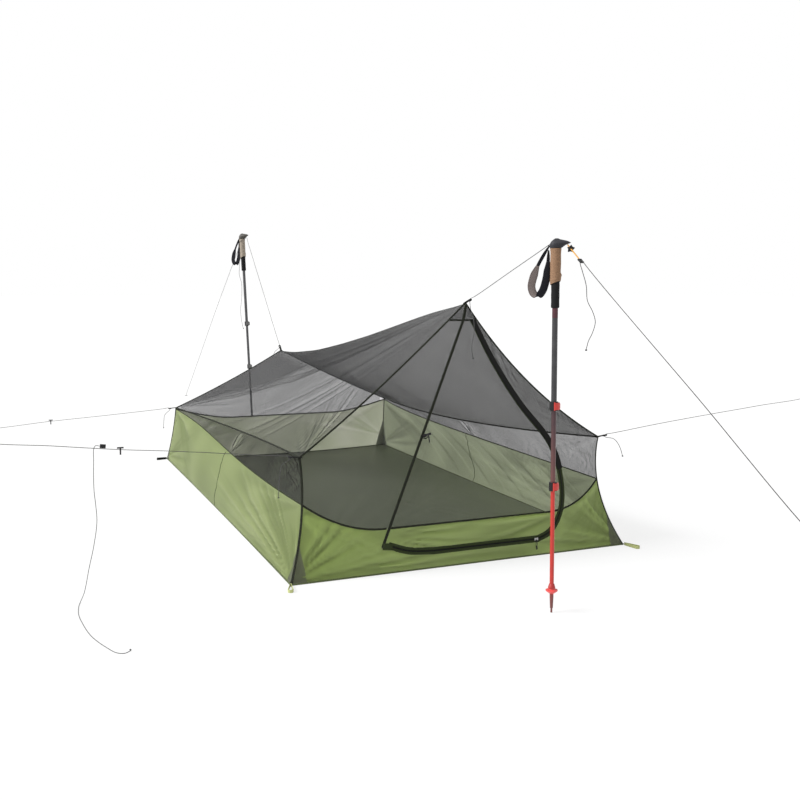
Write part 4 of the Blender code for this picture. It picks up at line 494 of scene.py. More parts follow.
wovenPaints = {         # colour, ribs per metre, sheen, gloss, roughness
    "binding": ("seamBinding", (0.016, 0.018, 0.012), 160.0, 0.0, 0.1),
    "clothSeam": ("clothSeam", (0.036, 0.044, 0.020), 160.0, 0.0, 0.1),
    "hem": ("floorHem", (0.10, 0.125, 0.045), 160.0),
    "tape": ("zipTape", (0.034, 0.046, 0.018), 190.0, 0.0, 0.1),
    "flap": ("zipFlap", (0.016, 0.016, 0.015), 170.0, 0.0, 0.05),
    "webbing": ("tabWebbing", (0.014, 0.014, 0.014), 150.0, 0.0, 0.1),
    "paleWebbing": ("paleWebbing", (0.52, 0.56, 0.24), 150.0, 0.15),
    "darkWebbing": ("darkWebbing", (0.02, 0.02, 0.02), 150.0, 0.0, 0.1),
    "strapOuter": ("strapOuter", (0.013, 0.013, 0.018), 140.0, 0.05, 0.15),
    "strapLining": ("strapLining", (0.19, 0.155, 0.145), 210.0, 0.15, 0.5, 0.9),
}
finish = {word: clothFinish(name, colour, dict(clothLook, **look))
          for word, (name, colour, look) in clothPaints.items()}
finish.update({word: wovenFinish(*values) for word, values in wovenPaints.items()})
finish.update({word: cordFinish(word, colour) for word, colour in (
    ("guylineCord", (0.085, 0.085, 0.085)), ("greyCord", (0.11, 0.11, 0.105)), ("paleCord", (0.10, 0.10, 0.095)),
    ("yellowCord", (0.72, 0.36, 0.06)))})
finish.update({
    "netting": nettingFinish("insectNetting", nettingLook),
    "roofNetting": nettingFinish("roofNetting", roofLook),
    "coil": mouldedFinish("zipCoil", (0.006, 0.006, 0.006), 0.45, Specular_IOR_Level=0.2),
    "thread": mouldedFinish("sewingThread", (0.045, 0.05, 0.035), 0.7),
    "blackPlastic": mouldedFinish("blackPlastic", (0.013, 0.013, 0.014), 0.42, Specular_IOR_Level=0.25),
    "redPlastic": mouldedFinish("redPlastic", (0.52, 0.03, 0.022), 0.38),
    "greyPlastic": mouldedFinish("greyPlastic", (0.13, 0.13, 0.13), 0.45),
    "basketPlastic": mouldedFinish("basketPlastic", (0.74, 0.085, 0.080), 0.38),
    "hubPlastic": mouldedFinish("hubPlastic", (0.36, 0.022, 0.020), 0.4),
    "frontHead": mouldedFinish("headRubber", (0.021, 0.021, 0.026), 0.55, 1500.0, Specular_IOR_Level=0.3),
    "rearHead": mouldedFinish("rearHeadRubber", (0.055, 0.05, 0.042), 0.6, 1500.0),
    "frontCork": corkFinish("frontCork", (0.265, 0.150, 0.082), (0.115, 0.062, 0.032)),
    "rearCork": corkFinish("rearCork", (0.34, 0.29, 0.23), (0.15, 0.125, 0.10)),
    "foam": foamFinish("gripFoam", (0.010, 0.010, 0.0105)),
    "sliderMetal": metalFinish("sliderMetal", (0.42, 0.42, 0.41), 0.35, 0.9),
    "plumBand": metalFinish("plumBand", (0.075, 0.022, 0.03), 0.4, 0.3),
    "frontUpper": metalFinish("frontUpperTube", (0.043, 0.043, 0.046), 0.38, 0.3),
    "rearTube": metalFinish("rearTube", (0.075, 0.075, 0.078), 0.4, 0.4),
    "frontMiddle": shaftFinish("frontMiddleTube", (0.145, 0.060, 0.056), (0.056, 0.032, 0.038), (0.37, 0.56)),
    "frontLower": shaftFinish("frontLowerTube", (0.17, 0.055, 0.050), (0.50, 0.032, 0.024), (0.050, 0.060), 0.36, 0.2),
})
print("materials:", len(finish))


# Helpers that turn shapes into pieces

def addPiece(name, mesh, paints, slot, body="shelter", nodes=()):
    # paints are keys of finish; nodes are the CAD solids that the piece replaces
    made = bpy.data.objects.new(name, mesh)
    bpy.context.scene.collection.objects.link(made)
    for word in paints:
        mesh.materials.append(finish[word])
    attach(made, body)
    if nodes:
        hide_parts(*nodes)
    return made


def smoothed(mesh, angle):
    mesh.shade_smooth()
    mesh.set_sharp_from_angle(angle=math.radians(angle))
    return mesh


def makePiece(name, bm, paints, slot, body="shelter", nodes=(), angle=50.0, matrix=None):
    bmesh.ops.recalc_face_normals(bm, faces=bm.faces)
    if matrix is not None:
        bmesh.ops.transform(bm, matrix=matrix, verts=bm.verts)
    mesh = bpy.data.meshes.new(name)
    bm.to_mesh(mesh)
    bm.free()
    return addPiece(name, smoothed(mesh, angle), paints, slot, body, nodes)


def aheadAt(points, index):
    return (points[min(index + 1, len(points) - 1)] - points[max(index - 1, 0)]).normalized()


def framesAlong(points, outward, lift=0.0):
    # for each point: place, across and outward
    frames = []
    for index, point in enumerate(points):
        ahead = aheadAt(points, index)
        across = ahead.cross(Vector(outward)).normalized()
        up = across.cross(ahead).normalized()
        frames.append((point + up * lift, across, up))
    return frames


def turningFrames(points, start=upward):
    # frames that turn as little as they can, for round cords
    frames = []
    across = aheadAt(points, 0).cross(Vector(start)).normalized()
    for index, point in enumerate(points):
        ahead = aheadAt(points, index)
        if index:
            across = (across - ahead * across.dot(ahead)).normalized()
        frames.append((point, across, across.cross(ahead)))
    return frames


def closedFrames(points, outward):
    # frames round a closed run; outward is a vector, or a function of the point
    frames = []
    for index, point in enumerate(points):
        ahead = (points[(index + 1) % len(points)] - points[index - 1]).normalized()
        across = ahead.cross(outward(point) if callable(outward) else Vector(outward)).normalized()
        frames.append((point, across, across.cross(ahead)))
    return frames


def circle(count):
    # cosine and sine of evenly spaced angles
    return [(math.cos(2 * math.pi * i / count), math.sin(2 * math.pi * i / count)) for i in range(count)]


def addRing(bm, points):
    return [bm.verts.new(p) for p in points]


def addSkin(bm, rings, closed=False, index=0, uvs=None, indexAt=None):
    # quads between rings of equal size, with end caps unless closed; uvs are the distances round and along
    layer = bm.loops.layers.uv.verify() if uvs else None
    size = len(rings[0])
    for at, (ring, following) in enumerate(zip(rings, rings[1:] + ([rings[0]] if closed else []))):
        for i in range(size):
            j = (i + 1) % size
            face = bm.faces.new([ring[i], ring[j], following[j], following[i]])
            face.material_index = indexAt(i, j) if indexAt else index
            if uvs:
                (left, right), (low, high) = uvs[0][i:i + 2], uvs[1][at:at + 2]
                for loop, spot in zip(face.loops, ((left, low), (right, low), (right, high), (left, high))):
                    loop[layer].uv = spot
    if not closed:
        for ring in (rings[0][::-1], rings[-1]):
            bm.faces.new(ring).material_index = index


def addSweep(bm, frames, section, closed=False, index=0, innerIndex=None):
    # the section's points are (across, outward); UV is turns or metres round, metres along
    turns, metres = [0.0], [0.0]
    for p, q in zip(section, section[1:] + section[:1]):
        turns.append(turns[-1] + math.dist(p, q))
    for (place, _, _), (following, _, _) in zip(frames, frames[1:] + frames[:1]):
        metres.append(metres[-1] + (following - place).length)
    rings = [addRing(bm, [place + across * a + up * b for a, b in section]) for place, across, up in frames]
    pick = lambda i, j: innerIndex if section[i][1] < 0 and section[j][1] < 0 else index
    addSkin(bm, rings, closed, index, (turns, metres), pick if innerIndex is not None else None)


def roundSection(radius, sides):
    return [(radius * c, radius * s) for c, s in circle(sides)]


def bandSection(width, height, sides=12, power=0.55):
    # a flat band with rounded edges
    turned = [2 * math.pi * (i + 0.5) / sides for i in range(sides)]
    bent = lambda value, size: math.copysign(abs(value) ** power, value) * size / 2
    return [(bent(math.cos(angle), width), bent(math.sin(angle), height)) for angle in turned]


def addTurned(bm, profile, sides):
    # a closed profile of (radius, height) turned about Z
    rings = [addRing(bm, [(radius * c, radius * s, height) for c, s in circle(sides)]) for radius, height in profile]
    layer = bm.loops.layers.uv.verify()
    for ring, following in zip(rings, rings[1:] + rings[:1]):
        for i in range(sides):
            j = (i + 1) % sides
            for loop in bm.faces.new([ring[i], ring[j], following[j], following[i]]).loops:
                loop[layer].uv = (i / sides, loop.vert.co.z)


def aim(origin, direction, up=upward):
    ahead = Vector(direction).normalized()
    across = Vector(up).cross(ahead).normalized()
    made = Matrix((ahead, across, ahead.cross(across))).transposed().to_4x4()
    made.translation = Vector(origin)
    return made


# Geometry Nodes: small rods repeated along every line of a wire mesh

def rodTree():
    tree = bpy.data.node_groups.new("rodsAlongLines", "GeometryNodeTree")
    for word, kind, way in (("Geometry", "Geometry", "INPUT"), ("pitch", "Float", "INPUT"),
                            ("rodLength", "Float", "INPUT"), ("rodRadius", "Float", "INPUT"),
                            ("sides", "Int", "INPUT"), ("finish", "Material", "INPUT"),
                            ("Geometry", "Geometry", "OUTPUT")):
        tree.interface.new_socket(word, in_out=way, socket_type="NodeSocket" + kind)
    add = lambda kind, inputs, output=0, **settings: addNode(tree, kind, inputs, output, **settings)
    start = tree.nodes.new("NodeGroupInput").outputs
    curve = add("GeometryNodeMeshToCurve", {"Mesh": start["Geometry"]})
    spaced = add("GeometryNodeResampleCurve", {"Curve": curve, "Length": start["pitch"]}, mode="LENGTH")
    turn = add("FunctionNodeAlignRotationToVector", {"Vector": add("GeometryNodeInputTangent", {})}, axis="Z")
    rod = add("GeometryNodeMeshCylinder", {"Vertices": start["sides"], "Radius": start["rodRadius"],
                                           "Depth": start["rodLength"]})
    copies = add("GeometryNodeInstanceOnPoints", {"Points": spaced, "Instance": rod, "Rotation": turn})
    real = add("GeometryNodeRealizeInstances", {"Geometry": copies})
    painted = add("GeometryNodeSetMaterial", {"Geometry": real, "Material": start["finish"]})
    setInputs(tree, tree.nodes.new("NodeGroupOutput"), {"Geometry": painted})
    return tree


rods = rodTree()


def rodsAlong(name, lines, values, body):
    verts, edges = [], []
    for line in lines:
        first = len(verts)
        verts += [tuple(p) for p in line]
        edges += [(i, i + 1) for i in range(first, first + len(line) - 1)]
    wire = bpy.data.meshes.new(name + "Lines")
    wire.from_pydata(verts, edges, [])
    made = bpy.data.objects.new(name, wire)
    bpy.context.scene.collection.objects.link(made)
    modifier = made.modifiers.new("rods", "NODES")
    modifier.node_group = rods
    for socket in rods.interface.items_tree:
        if socket.in_out == "INPUT" and socket.name in values:
            modifier[socket.identifier] = values[socket.name]
    made.data = bpy.data.meshes.new_from_object(made.evaluated_get(bpy.context.evaluated_depsgraph_get()))
    made.modifiers.clear()
    made.data.name = name
    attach(made, body)


# Camera

cameraSetup = {"place": (-1.45102, -3.80072, 0.94303), "ahead": (0.39778, 0.90809, -0.13092),
               "up": (0.04355, 0.12384, 0.99135), "focalPixels": 979.387, "imagePixels": 800.0, "sensor": 36.0,
               "clip": (0.05, 60.0)}


def makeCamera():
    data = bpy.data.cameras.new("photoCamera")
    data.sensor_width = cameraSetup["sensor"]
    data.lens = cameraSetup["focalPixels"] * cameraSetup["sensor"] / cameraSetup["imagePixels"]
    data.clip_start, data.clip_end = cameraSetup["clip"]
    made = bpy.data.objects.new("photoCamera", data)
    bpy.context.scene.collection.objects.link(made)
    ahead = Vector(cameraSetup["ahead"]).normalized()
    right = ahead.cross(Vector(cameraSetup["up"])).normalized()
    turn = Matrix((right, right.cross(ahead), -ahead)).transposed().to_4x4()
    made.matrix_world = Matrix.Translation(cameraSetup["place"]) @ turn
    bpy.context.scene.camera = made


makeCamera()


# Trekking poles' sizes, with heights measured up each pole from its tip

poles = {
    "front": {"foot": (0.0, -1.557, 0.0003), "lean": 0.033, "turn": -0.933, "length": 1.033,
              "headHeight": 0.026, "headReach": 0.044, "cork": (0.092, 0.0152), "strap": 0.140,
              "foam": (0.068, 0.0115), "upperLock": 0.580, "lowerLock": 0.357},
    "rear": {"foot": (0.0, 1.604, 0.0008), "lean": 0.176, "turn": -0.933, "length": 1.163,
             "headHeight": 0.034, "headReach": 0.049, "cork": (0.104, 0.0165), "strap": 0.148,
             "foam": (0.076, 0.0128), "upperLock": 0.642, "lowerLock": 0.395},
}
poleParts = {"upperRadius": 0.0077, "middleRadius": 0.0068, "gap": 0.0003, "clampWall": 0.004,
             "leverGap": 0.0006, "leverThickness": 0.004, "leverArc": 2.3, "leverStart": math.radians(-60),
             "hubBottom": 0.069, "ferrule": 0.0055, "overhang": 0.0015, "strapPin": 0.008, "sleeveLength": 0.027}
headRings = ((0.0, 0.97, 0.36, 0.95), (0.30, 1.0, 0.62, 1.0), (0.52, 0.92, 1.0, 0.95),
             (0.74, 0.70, 0.74, 0.76), (0.92, 0.34, 0.26, 0.42))     # share of height, back, beak, half width
corkShape = ((0.0, 0.92), (0.10, 1.0), (0.25, 0.90), (0.55, 0.96), (0.85, 0.93), (1.0, 1.0))


def leanMatrix(word):
    return Matrix.Translation(poles[word]["foot"]) @ Matrix.Rotation(-poles[word]["lean"], 4, "X")


def poleMatrix(word):
    return leanMatrix(word) @ Matrix.Rotation(poles[word]["turn"], 4, "Z")


def axisPoint(word, height, x=0.0, y=0.0):
    return leanMatrix(word) @ Vector((x, y, height))


def neckHeight(word):
    return poles[word]["length"] - poles[word]["headHeight"]


def betweenRings(rings, share):
    below, above = [(p, q) for p, q in zip(rings, rings[1:]) if share <= q[0]][0]
    part = (share - below[0]) / (above[0] - below[0])
    return [lerp(p, q, part) for p, q in zip(below[1:], above[1:])]


def headPoint(sizes, up, angle):
    backShare, beakShare, wideShare = betweenRings(headRings, up)
    back = sizes["cork"][1] + poleParts["overhang"]
    ahead = math.cos(angle)
    x = ahead * (sizes["headReach"] * beakShare if ahead > 0 else back * backShare)
    y = math.sin(angle) * back * wideShare * (1.0 - 0.45 * max(0.0, ahead))
    return Vector((x, y, poleParts["gap"] + up * (sizes["headHeight"] - poleParts["gap"])))


def corkRadiusAt(sizes, down):
    # the grip's radius at a distance below the neck
    share = min(1.0, 1.0 - down / sizes["cork"][0])
    return sizes["cork"][1] * betweenRings(corkShape, share)[0]


# Tabs and line locks at the corners and peaks

tab = {"length": 0.024, "width": 0.010, "thickness": 0.0014, "lockLength": 0.014, "lockWidth": 0.013,
       "lockThickness": 0.0036, "rail": 0.003}
lockMiddle = tab["length"] - tab["rail"] / 2 + tab["lockLength"] / 2
guys = {         # where each tab is and which way it pulls
    "frontLeft": (Vector((-1, 1, 1)), frontCorner, (-1.0, 0.045, 0.115)),
    "frontRight": (Vector((1, 1, 1)), frontCorner, (1.0, 0.045, 0.115)),
    "rearLeft": (Vector((-1, 1, 1)), rearCorner, (-1.0, 0.020, -0.065)),
    "rearRight": (Vector((1, 1, 1)), rearCorner, (1.0, 0.020, -0.065)),
    "frontPeak": (Vector((1, 1, 1)), frontPeak, Vector((0.0, -1.506, 1.006)) - frontPeak),
    "rearPeak": (Vector((1, 1, 1)), rearPeak, Vector((0.014, 1.762, 1.103)) - rearPeak),
}


def guyFrame(name):
    mirror, place, pull = guys[name]
    return aim(place * mirror, pull)


# Cords: routes are chosen points in metres

cordSizes = {"line": 0.0020, "tail": 0.0018, "loop": 0.0036, "eye": 0.009, "eyeClearance": 0.0034,
             "lockOver": 0.0036, "spacing": 0.006, "sides": 10, "ground": 0.00115, "gap": 0.0006,
             "knotGap": 0.004}
tails = {
    "frontLeft": [(-0.605, -0.978, 0.353), (-0.612, -0.982, 0.325), (-0.616, -0.984, 0.290),
                  (-0.618, -0.985, 0.255)],
    "frontRight": [(0.610, -0.978, 0.362), (0.628, -0.980, 0.345), (0.640, -0.982, 0.322),
                   (0.648, -0.983, 0.298)],
    "rearLeft": [(-0.606, 0.981, 0.236), (-0.611, 0.982, 0.210), (-0.613, 0.983, 0.172)],
    "frontPeak": [(0.004, -1.030, 0.826), (0.014, -1.034, 0.790), (0.015, -1.036, 0.745),
                  (0.008, -1.037, 0.715), (0.008, -1.038, 0.690), (0.013, -1.038, 0.668)],
    "rearPeak": [(-0.012, 1.062, 0.535), (-0.026, 1.068, 0.522), (-0.034, 1.070, 0.495)],
    "adjuster": [(0.003, -1.648, 0.947), (0.014, -1.652, 0.909), (0.017, -1.655, 0.871),
                 (0.035, -1.655, 0.841), (0.044, -1.655, 0.815), (0.036, -1.655, 0.786),
                 (0.025, -1.655, 0.766), (0.018, -1.655, 0.742)],
    "rearPole": [(-0.022, 1.783, 1.000), (-0.0225, 1.783, 0.951), (-0.0235, 1.783, 0.911),
                 (-0.011, 1.783, 0.863), (-0.011, 1.783, 0.782), (-0.018, 1.783, 0.709),
                 (-0.013, 1.783, 0.645), (-0.003, 1.783, 0.600)],
}
lines = {
    "front": [(0.0, -1.7600, 0.8990), (0.0, -2.1000, 0.6815), (0.0, -2.4640, 0.4490)],
    "rear": [(0.0, 2.5145, 0.6620), (0.0, 2.9927, 0.3440), (0.0, 3.30, 0.140), (0.0, 3.494, 0.0012)],
    "frontLeft": [(-0.9403, -0.955, 0.4150), (-1.0758, -0.950, 0.4270), (-1.2600, -0.942, 0.4480),
                  (-1.4220, -0.935, 0.4670)],
    "frontRight": [(0.80, -0.964, 0.4010), (1.0091, -0.957, 0.4200), (1.30, -0.943, 0.4430),
                   (1.5500, -0.929, 0.4640)],
    "rearLeft": [(-0.8637, 0.985, 0.2475), (-1.1311, 0.991, 0.2301), (-1.3934, 0.996, 0.2122)],
}
longTail = [(-1.1440, -0.9510, 0.4430), (-1.1490, -0.9545, 0.4340), (-1.150, -0.953, 0.400),
            (-1.1515, -0.952, 0.355), (-1.151, -0.950, 0.310), (-1.148, -0.950, 0.273),
            (-1.146, -0.950, 0.222), (-1.157, -0.950, 0.150), (-1.171, -0.950, 0.090),
            (-1.187, -0.955, 0.020), (-1.203, -0.990, 0.0012), (-1.216, -1.078, 0.0012),
            (-1.214, -1.159, 0.0012), (-1.202, -1.268, 0.0012), (-1.175, -1.362, 0.0012),
            (-1.156, -1.405, 0.0012), (-1.140, -1.414, 0.0012), (-1.124, -1.402, 0.0012)]
adjusterMiddle = Vector((0.0, -1.6440, 0.9725))
adjuster = {"length": 0.016, "width": 0.011, "buckleShare": 0.262}
rearWrap = ((0.0146, -53.5, -0.005), (0.0036, -78, 0.004), (0.0003, -110, 0.009),
            (0.0, -145, 0.014), (0.001, -178, 0.022))       # off the cork, bearing, below the neck


def lockRoute(name):
    # from below the lock up and out of it
    local = [(lockMiddle, -0.0055), (lockMiddle + 0.0003, 0.0), (lockMiddle + 0.0026, 0.0028)]
    rail = lockMiddle + (tab["lockLength"] - tab["rail"]) / 2
    local += [(rail, cordSizes["lockOver"]), (rail + 0.030, 0.0020)]
    return [guyFrame(name) @ Vector((x, 0.0, z)) for x, z in local]


def eyeAt(end, ahead, across):
    ahead = Vector(ahead).normalized()
    across = (Vector(across) - ahead * Vector(across).dot(ahead)).normalized()
    centre = Vector(end) + ahead * cordSizes["eye"]
    points = []
    for step in range(1, 12):
        angle = math.pi - 2 * math.pi * step / 12
        points.append(centre + (ahead * math.cos(angle) + across * math.sin(angle)) * cordSizes["eye"]
                      + ahead.cross(across) * cordSizes["eyeClearance"] * (step / 12) ** 2)
    return points


def knotPiece(name, centre, direction, diameter, paint, slot):
    # a small overhand knot: a trefoil of cord drawn flat on its line
    turn = aim(centre, direction, (0.31, 0.17, 0.93))
    points = []
    for step in range(36):
        t = 2 * math.pi * step / 36
        points.append(turn @ (Vector((-math.sin(3 * t) * 1.5, math.sin(t) + 2 * math.sin(2 * t),
                                      math.cos(t) - 2 * math.cos(2 * t))) * (diameter * 1.15 / 3.0)))
    bm = bmesh.new()
    addSweep(bm, closedFrames(points, lambda point: (point - Vector(centre)).normalized()),
             roundSection(diameter / 2, 8), closed=True)
    return makePiece(name + "Knot", bm, [paint], slot, angle=40.0)


def cordPiece(name, points, node, paint="guylineCord", end="knot", knot=None, lay="hanging", start=(1.0, 0.0, 0.0),
              diameter=cordSizes["line"], slot="cord", stiffness="limp", others=()):
    # a round braided tube along a smooth route
    route = evenly(smoothSpans(points, 10), cordSizes["spacing"])
    for point in route:
        point.z = max(point.z, cordSizes["ground"])
    bm = bmesh.new()
    addSweep(bm, turningFrames(route, start), roundSection(diameter / 2, cordSizes["sides"]))
    made = makePiece(name, bm, [paint], slot, nodes=[node], angle=40.0)
    others = list(others)
    if knot:
        others.append(knotPiece(name, *knot, diameter, paint, slot))
    tuple(route[0])
    pathLength(route)
    [tuple(p) for p in route]
    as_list(others)


def guyPiece(name, first, end, node, paint="guylineCord", across=upward, **facts):
    # a taut line from a lock to its eye, where it leaves the picture
    ahead = Vector(end[-1]) - Vector(end[-2])
    cordPiece(name, first + end + eyeAt(end[-1], ahead, across), node, paint, lay="taut",
              knot=(Vector(end[-1]) - ahead.normalized() * cordSizes["knotGap"], ahead), **facts)


def tailPiece(name, through, tail, node, paint="guylineCord", **facts):
    # the loose end that hangs below a lock
    knot = None if facts.get("end") == "bare" else (tail[-1], (0.1, 0.0, -1.0))
    cordPiece(name, [through[1], through[0]] + tail, node, paint, knot=knot, **facts)


def adjusterFrame():
    return aim(adjusterMiddle, Vector(lines["front"][0]) - adjusterMiddle)


def buckleFrame():
    inner, outer = Vector(lines["frontLeft"][1]), Vector(lines["frontLeft"][2])
    made = aim(inner.lerp(outer, adjuster["buckleShare"]), outer - inner)
    made.translation = made @ Vector((0.0, 0.0, cordSizes["line"] / 2 + cordSizes["gap"] + adjuster["width"] / 2))
    return made


def makeCords():
    line, gap = cordSizes["line"], poleParts["gap"]
    for name, node, paint, cleats in (
            ("frontLeft", "guyline_front_left", "greyCord", ["cleat_front_left", "tail_buckle"]),
            ("frontRight", "guyline_front_right", "greyCord", []),
            ("rearLeft", "guyline_rear_left", "paleCord", ["cleat_rear_left"])):
        through = lockRoute(name)
        guyPiece(name + "Guyline", through[1:], lines[name], node, paint, others=cleats, start=(0.0, 1.0, 0.2))
        tailPiece(name + "Tail", through, tails[name], node, start=(0.0, 1.0, 0.0))
    half = (adjuster["length"] - tab["rail"]) / 2
    through = [adjusterFrame() @ Vector((x, 0.0, z)) for x, z in (
        (0.0, -0.0055), (0.0003, 0.0), (0.0032, 0.0028), (half, cordSizes["lockOver"]), (half + 0.03, 0.0022))]
    guyPiece("frontGuyline", through[1:], lines["front"], "guyline_front")
    tailPiece("adjusterTail", through, tails["adjuster"], "guyline_front")
    down = 0.006         # the rear guyline leaves just below the head
    start = axisPoint("rear", neckHeight("rear") - down, 0.0, corkRadiusAt(poles["rear"], down) + gap + line / 4)
    end = lines["rear"]
    eye = eyeAt(end[-1], (0.0, end[-1][1] - end[-2][1], 0.0), (1.0, 0.0, 0.0))
    cordPiece("rearGuyline", [start] + end + eye, "guyline_rear", "paleCord", "bare", lay="taut")
    seat = headPoint(poles["front"], 0.66, math.pi / 2 - poles["front"]["turn"])
    stop = axisPoint("front", neckHeight("front") + seat.z, 0.0, seat.xy.length + gap + line / 4)
    through = lockRoute("frontPeak")
    cordPiece("frontPeakLine", through[1:] + [through[-1].lerp(stop, 0.5), stop], "peak_line_front", end="object",
              lay="taut")
    tailPiece("frontPeakTail", through, tails["frontPeak"], "peak_line_front")
    wrap = []
    for away, degrees, down in rearWrap:
        angle = math.radians(degrees)
        out = corkRadiusAt(poles["rear"], down) + line / 2 + 0.0009 + away
        wrap.append(axisPoint("rear", neckHeight("rear") - down, out * math.cos(angle), out * math.sin(angle)))
    through = lockRoute("rearPeak")
    route = through[1:] + [through[-1].lerp(wrap[0], 0.5), through[-1].lerp(wrap[0], 0.96)] + wrap
    cordPiece("rearPeakLine", route + tails["rearPole"], "peak_line_rear", "paleCord",
              knot=(tails["rearPole"][-1], (0.1, 0.0, -1.0)))
    tailPiece("rearPeakTail", through, tails["rearPeak"], "peak_line_rear", "paleCord", end="bare")
    seat, beak = headPoint(poles["front"], 0.385, 0.0), math.radians(-53.5)
    height = neckHeight("front") + seat.z - cordSizes["loop"] / 2 - cordSizes["gap"]
    start = axisPoint("front", height, seat.x * math.cos(beak), seat.x * math.sin(beak))
    stop = adjusterFrame() @ Vector((-adjuster["length"] / 2 - cordSizes["gap"], 0.0, 0.0))
    cordPiece("headLoop", [start, start.lerp(stop, 0.5), stop], "head_loop", "yellowCord", "fitting", lay="taut",
              start=(0.1, 0.2, 1.0), diameter=cordSizes["loop"], slot="yellow_cord", stiffness="medium",
              others=["star_cleat", "line_adjuster"])
    start = buckleFrame() @ Vector((adjuster["length"] / 2 + gap + cordSizes["tail"] / 3, 0.0, 0.0))
    cordPiece("longTail", [start] + longTail, "long_tail", start=(0.1, 0.2, 1.0), diameter=cordSizes["tail"],
              knot=(Vector(longTail[-1]) + Vector((0.0, 0.0, 0.002)), (1.0, 0.6, 0.0)))


makeCords()
print("cords made")


# Cloth panels: an outline in a plan, filled with even triangles and lifted to the surface

creaseGain = 1.7         # how strongly the creases stand out
seamMargin, fineMargin, hingeMargin = 0.0016, 0.0012, 0.0035
clothFacts = {"thickness": 0.0005, "spacing": 0.0088, "fade": 0.018, "paint": "wall", "slot": "wall_cloth"}
netFacts = {"thickness": 0.0012, "spacing": 0.012, "fade": 0.025, "paint": "netting", "slot": "netting"}


def flatten(points, first, second):
    return [Vector((p[first], p[second])) for p in points]


def insetOutline(runs):
    edges = [(p, q, margin) for points, margin in runs for p, q in zip(points, points[1:]) if (q - p).length > 1e-6]
    if sum(p.x * q.y - q.x * p.y for p, q, _ in edges) < 0:
        edges = [(q, p, margin) for p, q, margin in reversed(edges)]
    corners = []
    for index, (p, q, margin) in enumerate(edges):
        start, end, marginBefore = edges[index - 1]
        run, runBefore = (q - p).normalized(), (end - start).normalized()
        inward = Vector((-run.y, run.x)) * margin
        inwardBefore = Vector((-runBefore.y, runBefore.x)) * marginBefore
        cross = runBefore.x * run.y - runBefore.y * run.x
        if abs(cross) < 0.05:
            corners.append(p + (inward + inwardBefore) / 2)
        else:
            start = end + inwardBefore
            gap = p + inward - start
            corners.append(start + runBefore * ((gap.x * run.y - gap.y * run.x) / cross))
    return corners


def outlineTests(spots, outline):
    # for each spot: is it inside, and how far is it from the outline
    a = np.array([(p.x, p.y) for p in outline])
    b = np.roll(a, -1, axis=0)
    x, y = spots[:, 0:1], spots[:, 1:2]
    run = b - a
    rise = np.where(np.abs(run[:, 1]) < 1e-12, 1e-12, run[:, 1])
    hits = ((a[:, 1] > y) != (b[:, 1] > y)) & (x < run[:, 0] * (y - a[:, 1]) / rise + a[:, 0])
    share = ((x - a[:, 0]) * run[:, 0] + (y - a[:, 1]) * run[:, 1]) / np.maximum((run ** 2).sum(1), 1e-12)
    share = np.clip(share, 0, 1)
    away = np.hypot(x - a[:, 0] - share * run[:, 0], y - a[:, 1] - share * run[:, 1]).min(1)
    return hits.sum(1) % 2 == 1, away


def fans(*rows):
    # creases that run out from points under tension, in plan metres
    made = []
    for anchor, goal, wide, count, reach, width, height, seed in rows:
        draw = random.Random(seed)
        middle = math.atan2(goal[1] - anchor[1], goal[0] - anchor[0])
        for index in range(count):
            angle = middle + math.radians(wide) * ((index + draw.uniform(0.2, 0.8)) / count - 0.5)
            far = reach * draw.uniform(0.55, 1.0)
            near = reach * draw.uniform(0.01, 0.06)
            made.append((anchor[0] + near * math.cos(angle), anchor[1] + near * math.sin(angle),
                         anchor[0] + far * math.cos(angle), anchor[1] + far * math.sin(angle),
                         width * draw.uniform(0.7, 1.3), height * draw.choice((-1, 1)) * draw.uniform(0.5, 1.0)))
    return made


def noiseAt(plan, scale, level):
    return np.array([noise.noise(Vector((x * scale, y * scale, level))) for x, y in plan])


def creaseHeights(plan, creases):
    total = np.zeros(len(plan))
    wobble = noiseAt(plan, 9.0, 3.1) * 0.004
    for ax, ay, bx, by, width, height in creases:
        x, y, run = plan[:, 0] - ax, plan[:, 1] - ay, (bx - ax, by - ay)
        length = math.hypot(*run)
        inside = np.clip((x * run[0] + y * run[1]) / length ** 2, 0, 1)
        away = (x * run[1] - y * run[0]) / length + wobble
        wide = width * (0.45 + 0.9 * inside)
        total += height * creaseGain * np.sin(np.pi * inside ** 0.7) ** 0.8 * np.exp(-(away / wide) ** 2)
    return total


def normalAt(lift, x, y, step=0.001):
    along = lift(x + step, y) - lift(x - step, y)
    return along.cross(lift(x, y + step) - lift(x, y - step)).normalized()


